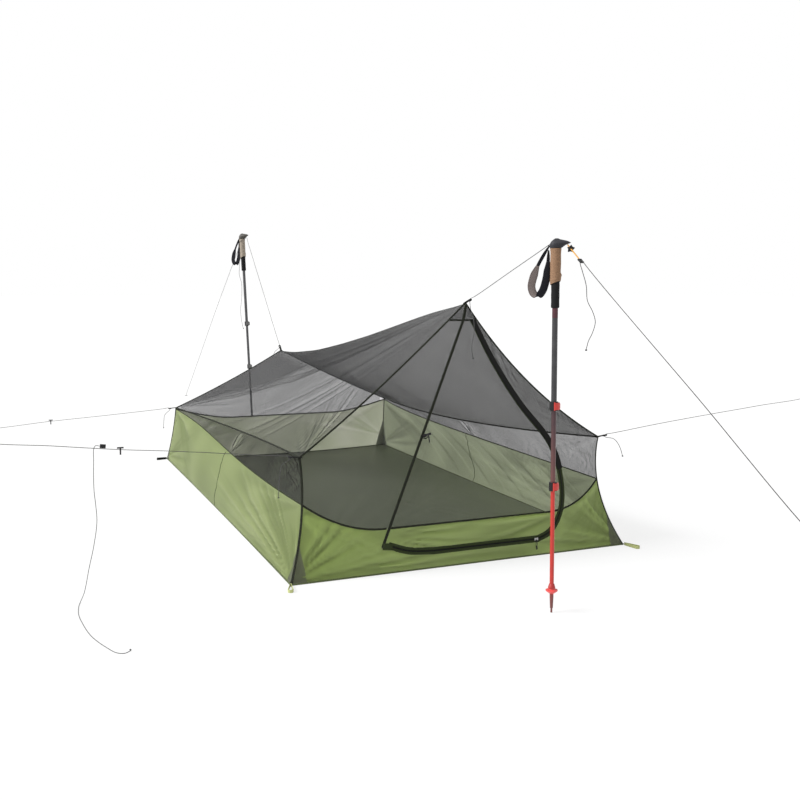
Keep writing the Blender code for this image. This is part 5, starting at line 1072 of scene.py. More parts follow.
def clothPanel(name, node, lift, runs, creases, soft, flat, kind, body="shelter", **changes):
    # runs are (points, margin) round the panel; soft is the scale and height of a gentle unevenness
    facts = dict(kind, **changes)
    spacing, facing = facts["spacing"], facts.get("facing", 1.0)
    outline = insetOutline(runs)
    rowStep = spacing * math.sqrt(3) / 2
    (lowX, highX), (lowY, highY) = [[pick(p[i] for p in outline) for pick in (min, max)] for i in (0, 1)]
    spots = np.array([(lowX + (column + 0.5 * (row % 2)) * spacing, lowY + row * rowStep)
                      for row in range(int((highY - lowY) / rowStep) + 2)
                      for column in range(int((highX - lowX) / spacing) + 2)])
    isIn, away = outlineTests(spots, outline)
    points = outline + [Vector(spot) for spot in spots[isIn & (away > 0.45 * spacing)].tolist()]
    places, _, faces, _, _, _ = geometry.delaunay_2d_cdt(points, [], [list(range(len(outline)))], 1, 1e-7)
    plan = np.array([(p.x, p.y) for p in places])
    fade = np.clip(outlineTests(plan, outline)[1] / facts["fade"], 0, 1)
    rise = (creaseHeights(plan, creases) + noiseAt(plan, soft[0], 0.7) * soft[1]) * (fade * fade * (3 - 2 * fade))
    if facts.get("raisedOnly"):
        rise = np.abs(rise)
    upper, lower = [], []
    for p, height in zip(places, rise):
        normal = normalAt(lift, p.x, p.y) * facing
        middle = lift(p.x, p.y) + normal * height
        upper.append(middle + normal * facts["thickness"] / 2)
        lower.append(middle - normal * facts["thickness"] / 2)
    count = len(upper)
    borders, shown = set(), []
    for face in faces:
        turned = list(face) if facing > 0 else list(reversed(face))
        shown += [turned, [i + count for i in reversed(turned)]]
        borders.update(zip(turned, turned[1:] + turned[:1]))
    shown += [[b, a, a + count, b + count] for a, b in sorted(borders) if (b, a) not in borders]
    mesh = bpy.data.meshes.new(name)
    mesh.from_pydata([tuple(p) for p in upper + lower], [], shown)
    layer = mesh.uv_layers.new(name="UVMap")
    for loop in mesh.loops:
        layer.data[loop.index].uv = places[loop.vertex_index % count]
    # the crease heights, which the cloth paints turn into painted shade and light
    mesh.attributes.new("crease", "FLOAT", "POINT").data.foreach_set("value", np.tile(rise, 2))
    mesh.update()
    made = addPiece(name, smoothed(mesh, 60), [facts["paint"]], facts["slot"], body, (node,))
    for face in faces:
        corners = [(upper[i] + lower[i]) / 2 for i in face]
        for b, c in zip(corners[1:], corners[2:]):
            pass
    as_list(facts.get("restsOn", ()))


def frontSeamLow(side, count=22):
    return along(frontCornerSeam, side, 0.006, frontMeet, count)


def frontSeamHigh(side):
    return along(frontCornerSeam, side, frontMeet, 1.0, 14)


def rearClothLine():
    seam = rearCornerSeam(1, shelter["rearMeet"])
    net = seam.x * shelter["rearNetShare"]
    inner = [Vector((x, clothTop(x, "rearCloth", rearCorner))) for x in spread(net, -net, 60)]
    return [Vector((seam.x, seam.z))] + inner + [Vector((-seam.x, seam.z))]


def rearEdgePoints(side):
    return along(rearEdge, side, 0.0, shelter["rearNetShare"], 34) + [rearEdge(side, 1.0)]


def eavePoints(side):
    return along(eave, side, 0.0, shelter["sideNetEnd"], 90) + along(eave, side, shelter["sideNetEnd"], 1.0, 16)[1:]


def rearFoot():
    half = shelter["rearWidth"] / 2
    return [Vector((x, rearPoint(x, 0.0).y, 0.0)) for x in spread(half, -half, 40)]


def makeFloor():
    front = [Vector((x, frontY)) for x in spread(-shelter["frontWidth"] / 2, shelter["frontWidth"] / 2, 40)]
    right, left = [flatten(along(floorSide, side, low, 1.0 - low, 70), 0, 1) for side, low in ((1, 0.0), (-1, 1.0))]
    runs = [(run, seamMargin) for run in (front, right, flatten(rearFoot(), 0, 1), left)]
    clothPanel("floorCloth", "floor_sheet", lambda x, y: Vector((x, y, 0.0006)), runs,
               fans(((-0.56, -0.98), (0.35, 0.1), 40, 7, 1.6, 0.012, 0.0022, 91),
                    ((0.56, -0.98), (-0.1, 0.5), 44, 5, 1.3, 0.012, 0.0018, 92)),
               (4.0, 0.0), (1.215, 2.135), clothFacts, spacing=0.02, thickness=0.0008, raisedOnly=True, fade=0.06,
               paint="floor", slot="floor_cloth")


slackCreases = {"first": -0.86, "step": 0.145, "count": 9, "low": 0.015, "reach": 0.42, "high": 0.235,
                "width": 0.0062, "height": 0.0036}


def makeSide(side, word):
    lift = lambda y, z: sidePoint(side, y, z)
    front = flatten(frontSeamLow(side), 1, 2)
    top = flatten(along(sideClothPoint, side, 0.0, 1.0, 110), 1, 2)
    rear = flatten(along(rearCornerSeam, side, shelter["rearMeet"], 0.008, 16), 1, 2)
    creases = fans(((-1.06, 0.005), (-0.4, 0.22), 34, 15, 1.25, 0.0065, 0.0034, 11),
                   ((-1.05, 0.01), (-0.9, 0.25), 44, 9, 0.26, 0.005, 0.0026, 15),
                   ((-0.99, 0.22), (0.2, 0.08), 20, 6, 0.80, 0.010, 0.0020, 12),
                   ((1.05, 0.02), (0.2, 0.15), 36, 9, 0.60, 0.009, 0.0024, 13),
                   ((0.98, 0.25), (0.2, 0.10), 30, 8, 0.70, 0.010, 0.0024, 14))
    if side > 0:         # the right wall hangs a little slack along its front half
        slack = slackCreases
        for index in range(slack["count"]):
            y = slack["first"] + slack["step"] * index
            creases.append((y, slack["low"], y + slack["reach"], slack["high"], slack["width"],
                            slack["height"] * (-1) ** index))
    # the right wall takes a darker copy of the wall cloth, as painted shade
    clothPanel("wallCloth" + word, "wall_" + word.lower(), lift,
               [(front, seamMargin), (top, fineMargin), (rear, seamMargin),
                (between(rear[-1], front[0], 110), seamMargin)],
               creases, (5.0, 0.004), (0.265, 2.125), clothFacts, facing=side, restsOn=["floorCloth"],
               paint="shadedRightWall" if side > 0 else "wall")
    upper = flatten(along(eave, side, 0.0, 0.995, 110), 1, 2)
    lower = flatten(along(sideClothPoint, side, 0.995, 0.0, 110), 1, 2)
    middle = sideClothPoint(side, 0.47)
    clothPanel("netting" + word, "mesh_" + word.lower(), lift,
               [(flatten(frontSeamHigh(side), 1, 2), seamMargin), (upper, seamMargin), ([upper[-1], lower[0]], 0.0),
                (lower, fineMargin)],
               fans(((-0.975, 0.36), (-0.3, 0.25), 26, 9, 0.5, 0.006, 0.0035, 21),
                    ((-0.965, 0.30), (-0.7, 0.30), 70, 9, 0.22, 0.005, 0.0030, 24),
                    ((middle.y, middle.z), (middle.y - 0.1, 0.4), 150, 11, 0.14, 0.005, 0.0040, 22),
                    ((0.95, 0.265), (0.2, 0.24), 8, 4, 0.6, 0.006, 0.0030, 23)),
               (9.0, 0.004), (0.155, 2.0), netFacts, facing=side)


def makeRear():
    left = flatten(along(rearCornerSeam, -1, shelter["rearMeet"], 0.01, 16), 0, 2)
    right = flatten(along(rearCornerSeam, 1, 0.01, shelter["rearMeet"], 16), 0, 2)
    top = rearClothLine()
    clothPanel("wallClothRear", "wall_rear", rearPoint,
               [(left, seamMargin), (between(left[-1], right[0], 60), seamMargin), (right, seamMargin),
                (top, fineMargin)],
               fans(((-0.58, 0.06), (-0.2, 0.22), 34, 7, 0.5, 0.006, 0.0026, 31),
                    ((0.57, 0.06), (0.2, 0.24), 34, 6, 0.5, 0.005, 0.0034, 32),
                    ((0.54, 0.25), (0.2, 0.14), 30, 5, 0.45, 0.008, 0.0018, 33),
                    ((-0.54, 0.25), (-0.2, 0.14), 30, 5, 0.45, 0.008, 0.0018, 34)),
               (6.0, 0.004), (1.19, 0.265), clothFacts, facing=-1.0)
    upLeft, upRight = flatten(rearEdgePoints(-1)[-2::-1], 0, 2), flatten(rearEdgePoints(1)[:-1], 0, 2)
    lower = top[1:-1]
    clothPanel("nettingRear", "mesh_rear", rearPoint,
               [(upLeft, seamMargin), (upRight, seamMargin), ([upRight[-1], lower[0]], 0.0), (lower, fineMargin),
                ([lower[-1], upLeft[0]], 0.0)],
               fans(((0.0, 0.53), (0.0, 0.2), 90, 12, 0.30, 0.006, 0.0025, 35),
                    ((0.5, 0.26), (0.0, 0.28), 16, 6, 0.5, 0.006, 0.0025, 36),
                    ((-0.5, 0.26), (0.0, 0.28), 16, 6, 0.5, 0.006, 0.0025, 37)),
               (8.0, 0.003), (1.10, 0.335), netFacts, facing=-1.0)


def makeRoof():
    runs = (along(frontEdge, -1, 1.0, 0.0, 44), along(frontEdge, 1, 0.0, 1.0, 44), eavePoints(1),
            rearEdgePoints(1)[::-1], rearEdgePoints(-1), eavePoints(-1)[::-1])
    creases = []
    for side, share in ((-1, 0.75), (1, 0.30)):         # the right slope is pulled flatter
        creases += fans(((0.0, -0.99), (side * 0.52, 0.45), 34, 8, 1.75, 0.011, 0.0042 * share, 41 + side),
                        ((side * 0.54, 0.965), (side * 0.25, 0.1), 50, 8, 1.10, 0.009, 0.0044 * share, 45 + side),
                        ((side * 0.53, -0.955), (side * 0.24, -0.3), 62, 15, 0.62, 0.006, 0.0036 * share, 49 + side),
                        ((0.0, 1.03), (side * 0.2, 0.3), 40, 5, 0.6, 0.009, 0.0015 * share, 53 + side))
    clothPanel("nettingRoof", "roof_mesh", roofPoint, [(flatten(run, 0, 1), seamMargin) for run in runs],
               creases, (4.0, 0.004), (1.46, 2.10), netFacts, spacing=0.0115, paint="roofNetting")


# The zip's path, the front wall and the door

def zipPlan():
    top = shelter["patchHeight"] - 0.0003
    topX, (sideX, sideZ), (cornerX, cornerZ) = door["zipTopX"], door["side"], door["corner"]
    right, bottom, straight = door["straightRight"], door["zipBottom"], door["straightLeft"]
    upper = [(topX, top)]
    upper += [(lerp(topX, sideX, x), lerp(top, sideZ, z)) for x, z in ((0.22, 0.232), (0.53, 0.49), (0.82, 0.686),
                                                                       (0.955, 0.84))]
    upper += [(sideX, sideZ), (lerp(sideX, cornerX, 0.25), lerp(sideZ, cornerZ, 0.55)), (cornerX, cornerZ),
              (lerp(cornerX, right, 0.44), lerp(cornerZ, bottom, 0.68)), (right, bottom)]
    lowX, lowZ = door["hingeLow"]
    leftEnd = lowX + 0.0158
    lower = [(straight, bottom), (lerp(straight, leftEnd, 0.55), lerp(bottom, lowZ, 0.22)), (leftEnd, lowZ - 0.008)]
    first, last = [evenly(smoothSpans([(*p, 0.0) for p in points], 24), 0.012) for points in (upper, lower)]
    straight = evenly([first[-1], Vector((*lower[0], 0.0))], 0.02)[1:-1]
    return flatten(first + straight + last, 0, 1)


zipPath = zipPlan()


def zipOffset(distance):
    made = []
    for index, point in enumerate(zipPath):
        normals = []
        for p, q in zip(zipPath[max(index - 1, 0):], zipPath[max(index, 1):index + 2]):
            run = (q - p).normalized()
            normals.append(Vector((-run.y, run.x)))
        normal = sum(normals, Vector((0.0, 0.0))) / len(normals)
        made.append(point + normal / normal.length_squared * distance)
    return made


def clothLine(low, high, count):
    return [Vector((x, frontClothTop(x))) for x in spread(low, high, count)]


zipMargin = door["tapeWidth"] * 0.72
zipOuter, zipInner = zipOffset(zipMargin), zipOffset(-zipMargin)
crossIndex = min((i for i, p in enumerate(zipPath) if p.x > 0),
                 key=lambda i: abs(zipPath[i].y - frontClothTop(zipPath[i].x)))
hingeCross = frontClothTop(hingeX(shelter["frontCloth"][0]))
hingeRun = [Vector((hingeX(z), z)) for z in spread(hingeCross, shelter["patchHeight"], 40)]
meeting = frontCornerSeam(1, frontMeet)
topLeft = [Vector((-meeting.x, meeting.z))] + clothLine(-meeting.x, hingeX(hingeCross), 30)[1:]
topRight = ([zipOuter[crossIndex]] + clothLine(zipOuter[crossIndex].x, meeting.x, 24)[1:-1]
            + [Vector((meeting.x, meeting.z))])


def zipFoot(line):
    return Vector((hingeX(line[-1].y), line[-1].y))


def makeFront():
    left, right = flatten(frontSeamLow(-1)[::-1], 0, 2), flatten(frontSeamLow(1), 0, 2)
    foot = zipFoot(zipOuter)
    # the front wall takes a darker copy of the wall cloth, as painted shade
    clothPanel("wallClothFront", "wall_front", frontPoint,
               [(left, seamMargin), (between(left[-1], right[0], 60), seamMargin), (right, seamMargin),
                (topRight[::-1], fineMargin), (zipOuter[crossIndex:] + [foot], 0.0),
                (between(foot, topLeft[-1], 6), seamMargin), (topLeft[::-1], fineMargin)],
               fans(((-0.60, 0.01), (-0.36, 0.12), 62, 13, 0.50, 0.006, 0.0034, 61),
                    ((-0.575, 0.21), (-0.3, 0.06), 46, 8, 0.42, 0.007, 0.0028, 62),
                    ((0.60, 0.01), (0.36, 0.10), 74, 12, 0.44, 0.0055, 0.0036, 63),
                    ((0.57, 0.21), (0.45, 0.05), 50, 8, 0.30, 0.006, 0.0030, 64),
                    ((-0.58, 0.012), (0.2, 0.03), 8, 5, 1.0, 0.007, 0.0026, 65)),
               (7.0, 0.003), (1.21, 0.235), clothFacts, fade=0.014, spacing=0.009, paint="shadedFrontWall")
    edges = [along(frontEdge, -1, 1.0, 0.0, 44), along(frontEdge, 1, 0.0, 1.0, 44)]
    seams = [frontSeamHigh(-1)] + edges + [frontSeamHigh(1)[::-1]]
    zipHigh, hinge = zipOuter[crossIndex::-1], hingeRun[::-1]
    clothPanel("nettingFront", "mesh_front", frontPoint,
               [(flatten(run, 0, 2), seamMargin) for run in seams]
               + [(topRight[::-1], fineMargin), (zipHigh, 0.0), ([zipHigh[-1], hinge[0]], 0.0), (hinge, seamMargin),
                  (topLeft[::-1], fineMargin)],
               fans(((0.0, 0.83), (-0.26, 0.4), 26, 7, 0.55, 0.006, 0.0024, 71),
                    ((0.02, 0.81), (0.38, 0.4), 22, 9, 0.55, 0.005, 0.0042, 72),
                    ((0.54, 0.37), (0.3, 0.42), 60, 15, 0.40, 0.005, 0.0044, 73),
                    ((-0.54, 0.37), (-0.25, 0.42), 50, 9, 0.32, 0.006, 0.0035, 74),
                    ((0.55, 0.23), (0.36, 0.3), 60, 6, 0.25, 0.005, 0.0030, 75)),
               (10.0, 0.003), (1.12, 0.72), netFacts, fade=0.02, spacing=0.013)


def makeDoor():
    zipHigh = zipInner[:crossIndex + 1]
    lower = [zipHigh[-1]] + clothLine(zipHigh[-1].x, hingeRun[0].x, 44)[1:]
    clothPanel("doorNetting", "door_mesh", frontPoint,
               [(hingeRun, hingeMargin), ([hingeRun[-1], zipHigh[0]], fineMargin), (zipHigh, 0.0), (lower, 0.0)],
               fans(((0.0, 0.78), (0.05, 0.4), 30, 9, 0.62, 0.006, 0.0018, 81),
                    ((0.34, 0.26), (0.1, 0.5), 70, 13, 0.42, 0.005, 0.0032, 82),
                    ((-0.26, 0.17), (-0.05, 0.4), 50, 7, 0.40, 0.006, 0.0025, 83)),
               (11.0, 0.0025), (0.64, 0.66), netFacts, "door", fade=0.02, spacing=0.013)
    foot = zipFoot(zipInner)
    hinge = between(foot, Vector((hingeX(hingeCross), hingeCross)), 5)
    zipLow = zipInner[crossIndex:] + [foot]
    upper = clothLine(hinge[-1].x, zipLow[0].x, 44)[:-1] + [zipLow[0]]
    # the door's skirt takes the darker front copy of the wall cloth, as painted shade
    clothPanel("doorSkirt", "door_skirt", frontPoint, [(hinge, hingeMargin), (upper, 0.0), (zipLow, 0.0)],
               fans(((-0.29, 0.11), (0.1, 0.09), 34, 8, 0.50, 0.006, 0.0030, 84),
                    ((0.33, 0.13), (0.0, 0.12), 34, 8, 0.46, 0.006, 0.0030, 85)),
               (9.0, 0.002), (0.66, 0.092), clothFacts, "door", fade=0.012, spacing=0.008, paint="shadedFrontWall")


makeFloor()
makeSide(-1, "Left")
makeSide(1, "Right")
makeRear()
makeRoof()
makeFront()
makeDoor()
print("cloth panels made")


# Seam bindings with their stitches

binding = {"corner": (0.0072, 0.0034), "eave": (0.0062, 0.0034), "edge": (0.0058, 0.0034),
           "floor": (0.0046, 0.0040), "cloth": (0.0064, 0.0022), "sideCloth": (0.0042, 0.0018),
           "hinge": (0.0090, 0.0036), "stitchPlace": 0.28}         # widths and heights
stitchLook = {"pitch": 0.0050, "rodLength": 0.0034, "rodRadius": 0.00028, "sides": 4, "finish": finish["thread"]}
stitchLines = {"shelter": [], "door": []}
outwardFront = (0.0, -1.0, 0.1)


def bindingRun(bm, points, outward, size, body="shelter", index=0, lift=0.0):
    width, height = binding[size]
    frames = framesAlong(evenly(points, 0.012), outward, lift)
    addSweep(bm, frames, bandSection(width, height), index=index)
    for share in (-binding["stitchPlace"], binding["stitchPlace"]):
        stitchLines[body].append([place + across * share * width + up * height * 0.5
                                  for place, across, up in frames])


def onFront(plan, out=0.0):
    return [frontPoint(p[0], p[1]) + Vector((0.0, -out, 0.0)) for p in plan]


def makeBindings():
    bm = bmesh.new()
    low = Vector((0.0, 0.0, binding["floor"][1] / 2 + 0.0008))
    for side in (-1, 1):
        for points, outward, size, index in (
                (frontSeamLow(side, 24) + frontSeamHigh(side)[1:], (side, -1.0, 0.1), "corner", 0),
                (along(rearCornerSeam, side, 0.015, 1.0, 20), (side, 1.0, 0.1), "corner", 0),
                (eavePoints(side), (side, 0.0, 0.55), "eave", 0),
                (along(frontEdge, side, 0.0, 1.0, 50), (side * 0.35, -0.75, 0.55), "edge", 0),
                (rearEdgePoints(side), (side * 0.3, 0.8, 0.5), "edge", 0),
                ([p + low for p in along(floorSide, side, 0.0, 1.0, 60)], (side * 0.4, 0.0, 1.0), "floor", 2),
                (along(sideClothPoint, side, 0.0, 1.0, 110), (side, 0.0, 0.2), "sideCloth", 1)):
            bindingRun(bm, points, outward, size, index=index)
    ends = [Vector((side * shelter["frontWidth"] / 2, frontY, 0.0)) + low for side in (-1, 1)]
    bindingRun(bm, ends, (0.0, -0.4, 1.0), "floor", index=2)
    bindingRun(bm, [p + low for p in rearFoot()], (0.0, 0.4, 1.0), "floor", index=2)
    bindingRun(bm, onFront(topLeft[:-1]), outwardFront, "cloth")
    bindingRun(bm, onFront(topRight), (0.3, -1.0, 0.1), "cloth")
    bindingRun(bm, [rearPoint(p.x, p.y) for p in rearClothLine()], (0.0, 1.0, 0.1), "cloth", index=1)
    makePiece("seamBindings", bm, ["binding", "clothSeam", "hem"], "binding", nodes=["seam_bindings"])
    bm = bmesh.new()
    lowX, lowZ = door["hingeLow"]
    points = onFront([(hingeX(z), z) for z in spread(lowZ - 0.012, shelter["patchHeight"], 50)])
    points += between(points[-1], frontPeak + Vector((0.0, -0.002, -0.006)), 7)[1:]
    bindingRun(bm, points, outwardFront, "hinge", lift=0.0016)
    corner = [(hingeX(lowZ) - 0.002, lowZ - 0.010), (lowX + 0.006, lowZ - 0.0105), (lowX + 0.017, lowZ - 0.0085)]
    bindingRun(bm, evenly(onFront(corner), 0.003), outwardFront, "corner", lift=0.0010)
    makePiece("hingeBinding", bm, ["binding"], "binding", nodes=["hinge_seam"])
    bm = bmesh.new()
    seam = onFront(clothLine(hingeX(hingeCross) + 0.006, zipInner[crossIndex].x - 0.002, 40))
    bindingRun(bm, seam, outwardFront, "cloth", "door")
    makePiece("doorSeam", bm, ["binding"], "binding", "door")


makeBindings()


# Zip: two tapes, the coil, the flap over its upper part, slider and pull

def surfaceOf(name):
    mesh = bpy.data.objects[name].data
    return bvhtree.BVHTree.FromPolygons([v.co for v in mesh.vertices], [tuple(p.vertices) for p in mesh.polygons])


def addLayer(bm, lift, rows, offset, thickness, facing, cloth=None):
    # a thin closed layer over a panel, from rows of plan points, laid on a cloth's own creases where one is given
    layer = bm.loops.layers.uv.verify()
    grids, spots, quads = [], {}, []
    for share in (0.5, -0.5):
        grid = []
        for row in rows:
            made = []
            for x, y in row:
                normal, place = normalAt(lift, x, y) * facing, lift(x, y)
                if cloth:
                    away = normal * math.copysign(0.03, offset)
                    place = cloth.ray_cast(place + away, -away, 0.06)[0] or place
                made.append(bm.verts.new(place + normal * (offset + share * thickness)))
                spots[made[-1]] = (x, y)
            grid.append(made)
        grids.append(grid)
    for grid, turn in zip(grids, (1, -1)):
        for low, high in zip(grid, grid[1:]):
            quads += [[low[i], low[i + 1], high[i + 1], high[i]][::turn] for i in range(len(low) - 1)]
    outer, inner = [grid[0] + [row[-1] for row in grid[1:]] + grid[-1][-2::-1] + [row[0] for row in grid[-2:0:-1]]
                    for grid in grids]
    for i in range(len(outer)):
        j = (i + 1) % len(outer)
        quads.append([outer[j], outer[i], inner[i], inner[j]])
    for quad in quads:
        for loop in bm.faces.new(quad).loops:
            loop[layer].uv = spots[loop.vert]


def zipStrip(bm, near, far, lift, thickness, last=None):
    # a strip between two distances from the zip's line, standing out from the wall by lift
    corners = ((near, lift), (far, lift), (far, lift + thickness), (near, lift + thickness))
    rings = [addRing(bm, ring) for ring in zip(*[onFront(zipOffset(away)[:last], out) for away, out in corners])]
    metres = [0.0]
    for p, q in zip(zipPath, zipPath[1:]):
        metres.append(metres[-1] + (q - p).length)
    wide = abs(far - near)
    addSkin(bm, rings, uvs=([0.0, wide, wide + thickness, 2 * wide + thickness, 0.0], metres))


def makeZip():
    half = door["tapeThickness"] / 2
    width, coil, pitch = door["tapeWidth"], door["coilRadius"], door["toothPitch"]
    teeth = {"pitch": pitch, "rodLength": pitch * 0.62, "rodRadius": coil, "sides": 10, "finish": finish["coil"]}
    for word, sign, body in (("Frame", 1, "shelter"), ("Door", -1, "door")):
        bm = bmesh.new()
        zipStrip(bm, sign * 0.00015, sign * width, -half, 2 * half)
        zipStrip(bm, sign * width * 0.55, sign * width * 1.05, half, 0.0006)
        makePiece("zipTape" + word, bm, ["tape"], "zip_tape", body, ["zip_tape_" + word.lower()], 40.0)
        rodsAlong("zipCoil" + word, [onFront(zipOffset(sign * (coil + 0.0001)), half + coil)], teeth, body)
        stitchLines[body].append(onFront(zipOffset(sign * width * 0.8), half + 0.0007))
    flapEnd = max(i for i, p in enumerate(zipPath) if p.y > door["flapEnd"])
    bm = bmesh.new()
    zipStrip(bm, *door["flap"], half + 2 * coil + 0.0006, 0.0009, flapEnd)
    makePiece("zipFlap", bm, ["flap"], "zip_tape", angle=40.0)
    bm = bmesh.new()
    lowX, lowZ = door["hingeLow"]
    rows = [[(lowX - 0.005 + 0.033 * i / 6, lowZ - 0.019 + 0.021 * j / 4 - 0.004 * i / 6) for i in range(7)]
            for j in range(5)]
    addLayer(bm, frontPoint, rows, 0.0030, 0.0008, 1.0)
    makePiece("zipCover", bm, ["tape"], "zip_tape", angle=40.0)


makeZip()


# Tabs and line locks

def ringRoute(base, halfX, halfY, corner=0.0022, steps=4):
    points = []
    for cx, cy, start in ((1, 1, 0), (-1, 1, 90), (-1, -1, 180), (1, -1, 270)):
        for step in range(steps + 1):
            angle = math.radians(start + 90 * step / steps)
            points.append(base @ Vector((lockMiddle + cx * (halfX - corner) + corner * math.cos(angle),
                                         cy * (halfY - corner) + corner * math.sin(angle), 0.0)))
    return points


def makeTabs():
    webbing, locks = bmesh.new(), bmesh.new()
    rail, length = tab["rail"], tab["length"]
    oval = [(a * rail / 2, b * tab["lockThickness"] / 2) for a, b in bandSection(2.0, 2.0, 12, 0.7)]
    squash = lambda wide, high: [(a * wide, b * high) for a, b in oval]
    halfX, halfY = (tab["lockLength"] - rail) / 2, (tab["lockWidth"] - rail) / 2
    for name in guys:
        base = guyFrame(name)
        turn = base.to_3x3()
        up = turn @ upward
        run = [base @ Vector((x, 0.0, z)) for x, z in ((-0.009, 0.0), (0.004, 0.0005), (0.012, 0.0009),
                                                      (length - 0.001, 0.0002))]
        addSweep(webbing, framesAlong(evenly(smoothSpans(run, 6), 0.003), up),
                 bandSection(tab["width"], tab["thickness"] * 2.2))
        fold = []
        for step in range(9):
            angle = math.radians(100 - 200 * step / 8)
            place = base @ Vector((length + 0.0023 * math.cos(angle), 0.0, 0.0026 * math.sin(angle)))
            fold.append((place, turn @ Vector((0, 1, 0)), (place - base @ Vector((length, 0, 0))).normalized()))
        addSweep(webbing, fold, bandSection(tab["width"] * 0.9, 0.0008))
        addSweep(locks, closedFrames(ringRoute(base, halfX, halfY), up), oval, closed=True)
        bar = [base @ Vector((lockMiddle - 0.001, y, -0.0012)) for y in (-halfY, 0.0, halfY)]
        addSweep(locks, framesAlong(bar, up), squash(0.75, 0.8))
        lip = [base @ Vector((lockMiddle + halfX + 0.0012, y, 0.0016 + 0.0006 * (1 - abs(y) / halfY)))
               for y in (-halfY * 0.8, -halfY * 0.4, 0.0, halfY * 0.4, halfY * 0.8)]
        addSweep(locks, framesAlong(lip, up), squash(0.9, 0.55))
        rows = [[(x, y) for x in (-0.006, 0.0, 0.006, 0.012, 0.018)] for y in (-0.0034, 0.0034)]
        rows += [[(x, y) for y in (-0.0034, 0.0, 0.0034)] for x in (0.004, 0.017)]
        stitchLines["shelter"] += [[base @ Vector((x, y, 0.0024)) for x, y in row] for row in rows]
    makePiece("cornerTabs", webbing, ["webbing"], "binding")
    makePiece("lineLocks", locks, ["blackPlastic"], "fitting_plastic")


makeTabs()


# Corner patches, the peak patch, the mid-side lines and the toggle

patch = {"frontHeight": 0.104, "frontBase": 0.046, "sideBase": 0.036, "rearHeight": 0.100, "rearBase": 0.044,
         "innerHeight": 0.140, "foot": 0.0045, "taper": 1.1, "tipWidth": 0.002,
         "offset": 0.0014, "thickness": 0.0007, "lineRadius": 0.0015, "lineWave": 0.0036,
         "lineTops": {"Left": 0.492, "Right": 0.508},
         "lineSpots": {"Left": [(-0.030, 0.190), (-0.056, 0.145), (-0.060, 0.101), (-0.030, 0.050), (-0.004, 0.006)],
                       "Right": [(0.046, 0.190), (0.062, 0.143), (0.052, 0.100), (0.028, 0.051), (0.029, 0.006)]}}


def makePatches():
    walls = {word: surfaceOf("wallCloth" + word) for word in ("Front", "Rear", "Left", "Right")}
    offset, thickness, tip = patch["offset"], patch["thickness"], patch["tipWidth"]
    corners = {"Front": (frontCornerSeam, frontCorner, frontPoint, 1),
               "Rear": (rearCornerSeam, rearCorner, rearPoint, -1)}
    pieces = (("cornerPatches", "patch", (("Front", patch["frontHeight"], patch["frontBase"], False),
                                          ("Rear", patch["rearHeight"], patch["rearBase"], False))),
              ("innerPatches", "innerPatch", (("Rear", patch["innerHeight"], patch["rearBase"], True),)))
    for name, paint, layers in pieces:
        bm = bmesh.new()
        for side in (-1, 1):
            for word, height, base, inside in layers:
                seam, corner, lift, end = corners[word]
                across, beside = [], []
                for t in [i / 9 for i in range(10)]:
                    z = lerp(patch["foot"], height, t)
                    place = seam(1, z / corner.z)
                    wide = base * (1 - t) ** patch["taper"] + tip
                    deep = 0.6 * wide if inside else patch["sideBase"] * (1 - t) ** patch["taper"] + tip
                    gap = 0.004 if inside else 0.001
                    across.append([(side * (place.x - gap - wide * u), z) for u in [i / 7 for i in range(8)]])
                    beside.append([(place.y + end * (gap + deep * u), z) for u in [i / 7 for i in range(8)]])
                out = -offset if inside else offset
                addLayer(bm, lift, across, out, thickness, end, walls[word])
                addLayer(bm, lambda y, z: sidePoint(side, y, z), beside, out, thickness, side,
                         walls["Left" if side < 0 else "Right"])
        makePiece(name, bm, [paint], "binding")
    bm = bmesh.new()
    rows = []
    for z in spread(shelter["patchHeight"] - 0.004, frontPeak.z - 0.006, 9):
        half = frontOutlineAt(z).x - 0.001
        rows.append([(half * (2 * u / 12 - 1), z) for u in range(13)])
    addLayer(bm, frontPoint, rows, 0.0026, 0.0012, 1.0)
    makePiece("peakPatch", bm, ["netting"], "netting")
    bm = bmesh.new()
    half = frontOutlineAt(shelter["patchHeight"]).x - 0.001
    run = onFront([(half * (2 * u / 16 - 1), shelter["patchHeight"] - 0.002) for u in range(17)])
    bindingRun(bm, run, outwardFront, "cloth", lift=0.0016)
    makePiece("peakSeam", bm, ["binding"], "binding")


def makeMidLines():
    # each line follows its wall's own creased surface
    bm = bmesh.new()
    for side, word in ((-1, "Left"), (1, "Right")):
        tree = surfaceOf("wallCloth" + word)
        top = sideClothPoint(side, patch["lineTops"][word])
        spots = [(top.y, top.z - 0.001, 0.0)] + [(y, z, 0.0) for y, z in patch["lineSpots"][word]]
        points = []
        for place in evenly(smoothSpans(spots, 12), 0.006):
            y = place.x + patch["lineWave"] * math.sin(place.y * 190.0) * (0.6 + 0.4 * math.sin(place.y * 71.0))
            outside = sidePoint(side, y, place.y) + Vector((side * 0.05, 0.0, 0.0))
            hit = tree.ray_cast(outside, Vector((-side, 0.0, 0.0)), 0.1)[0]
            if hit is not None:
                points.append(hit - Vector((side * 0.00025, 0.0, 0.0)))
        addSweep(bm, framesAlong(points, (side, 0.0, 0.1)), roundSection(patch["lineRadius"], 6))
    makePiece("midLines", bm, ["clothSeam"], "binding", angle=60.0)


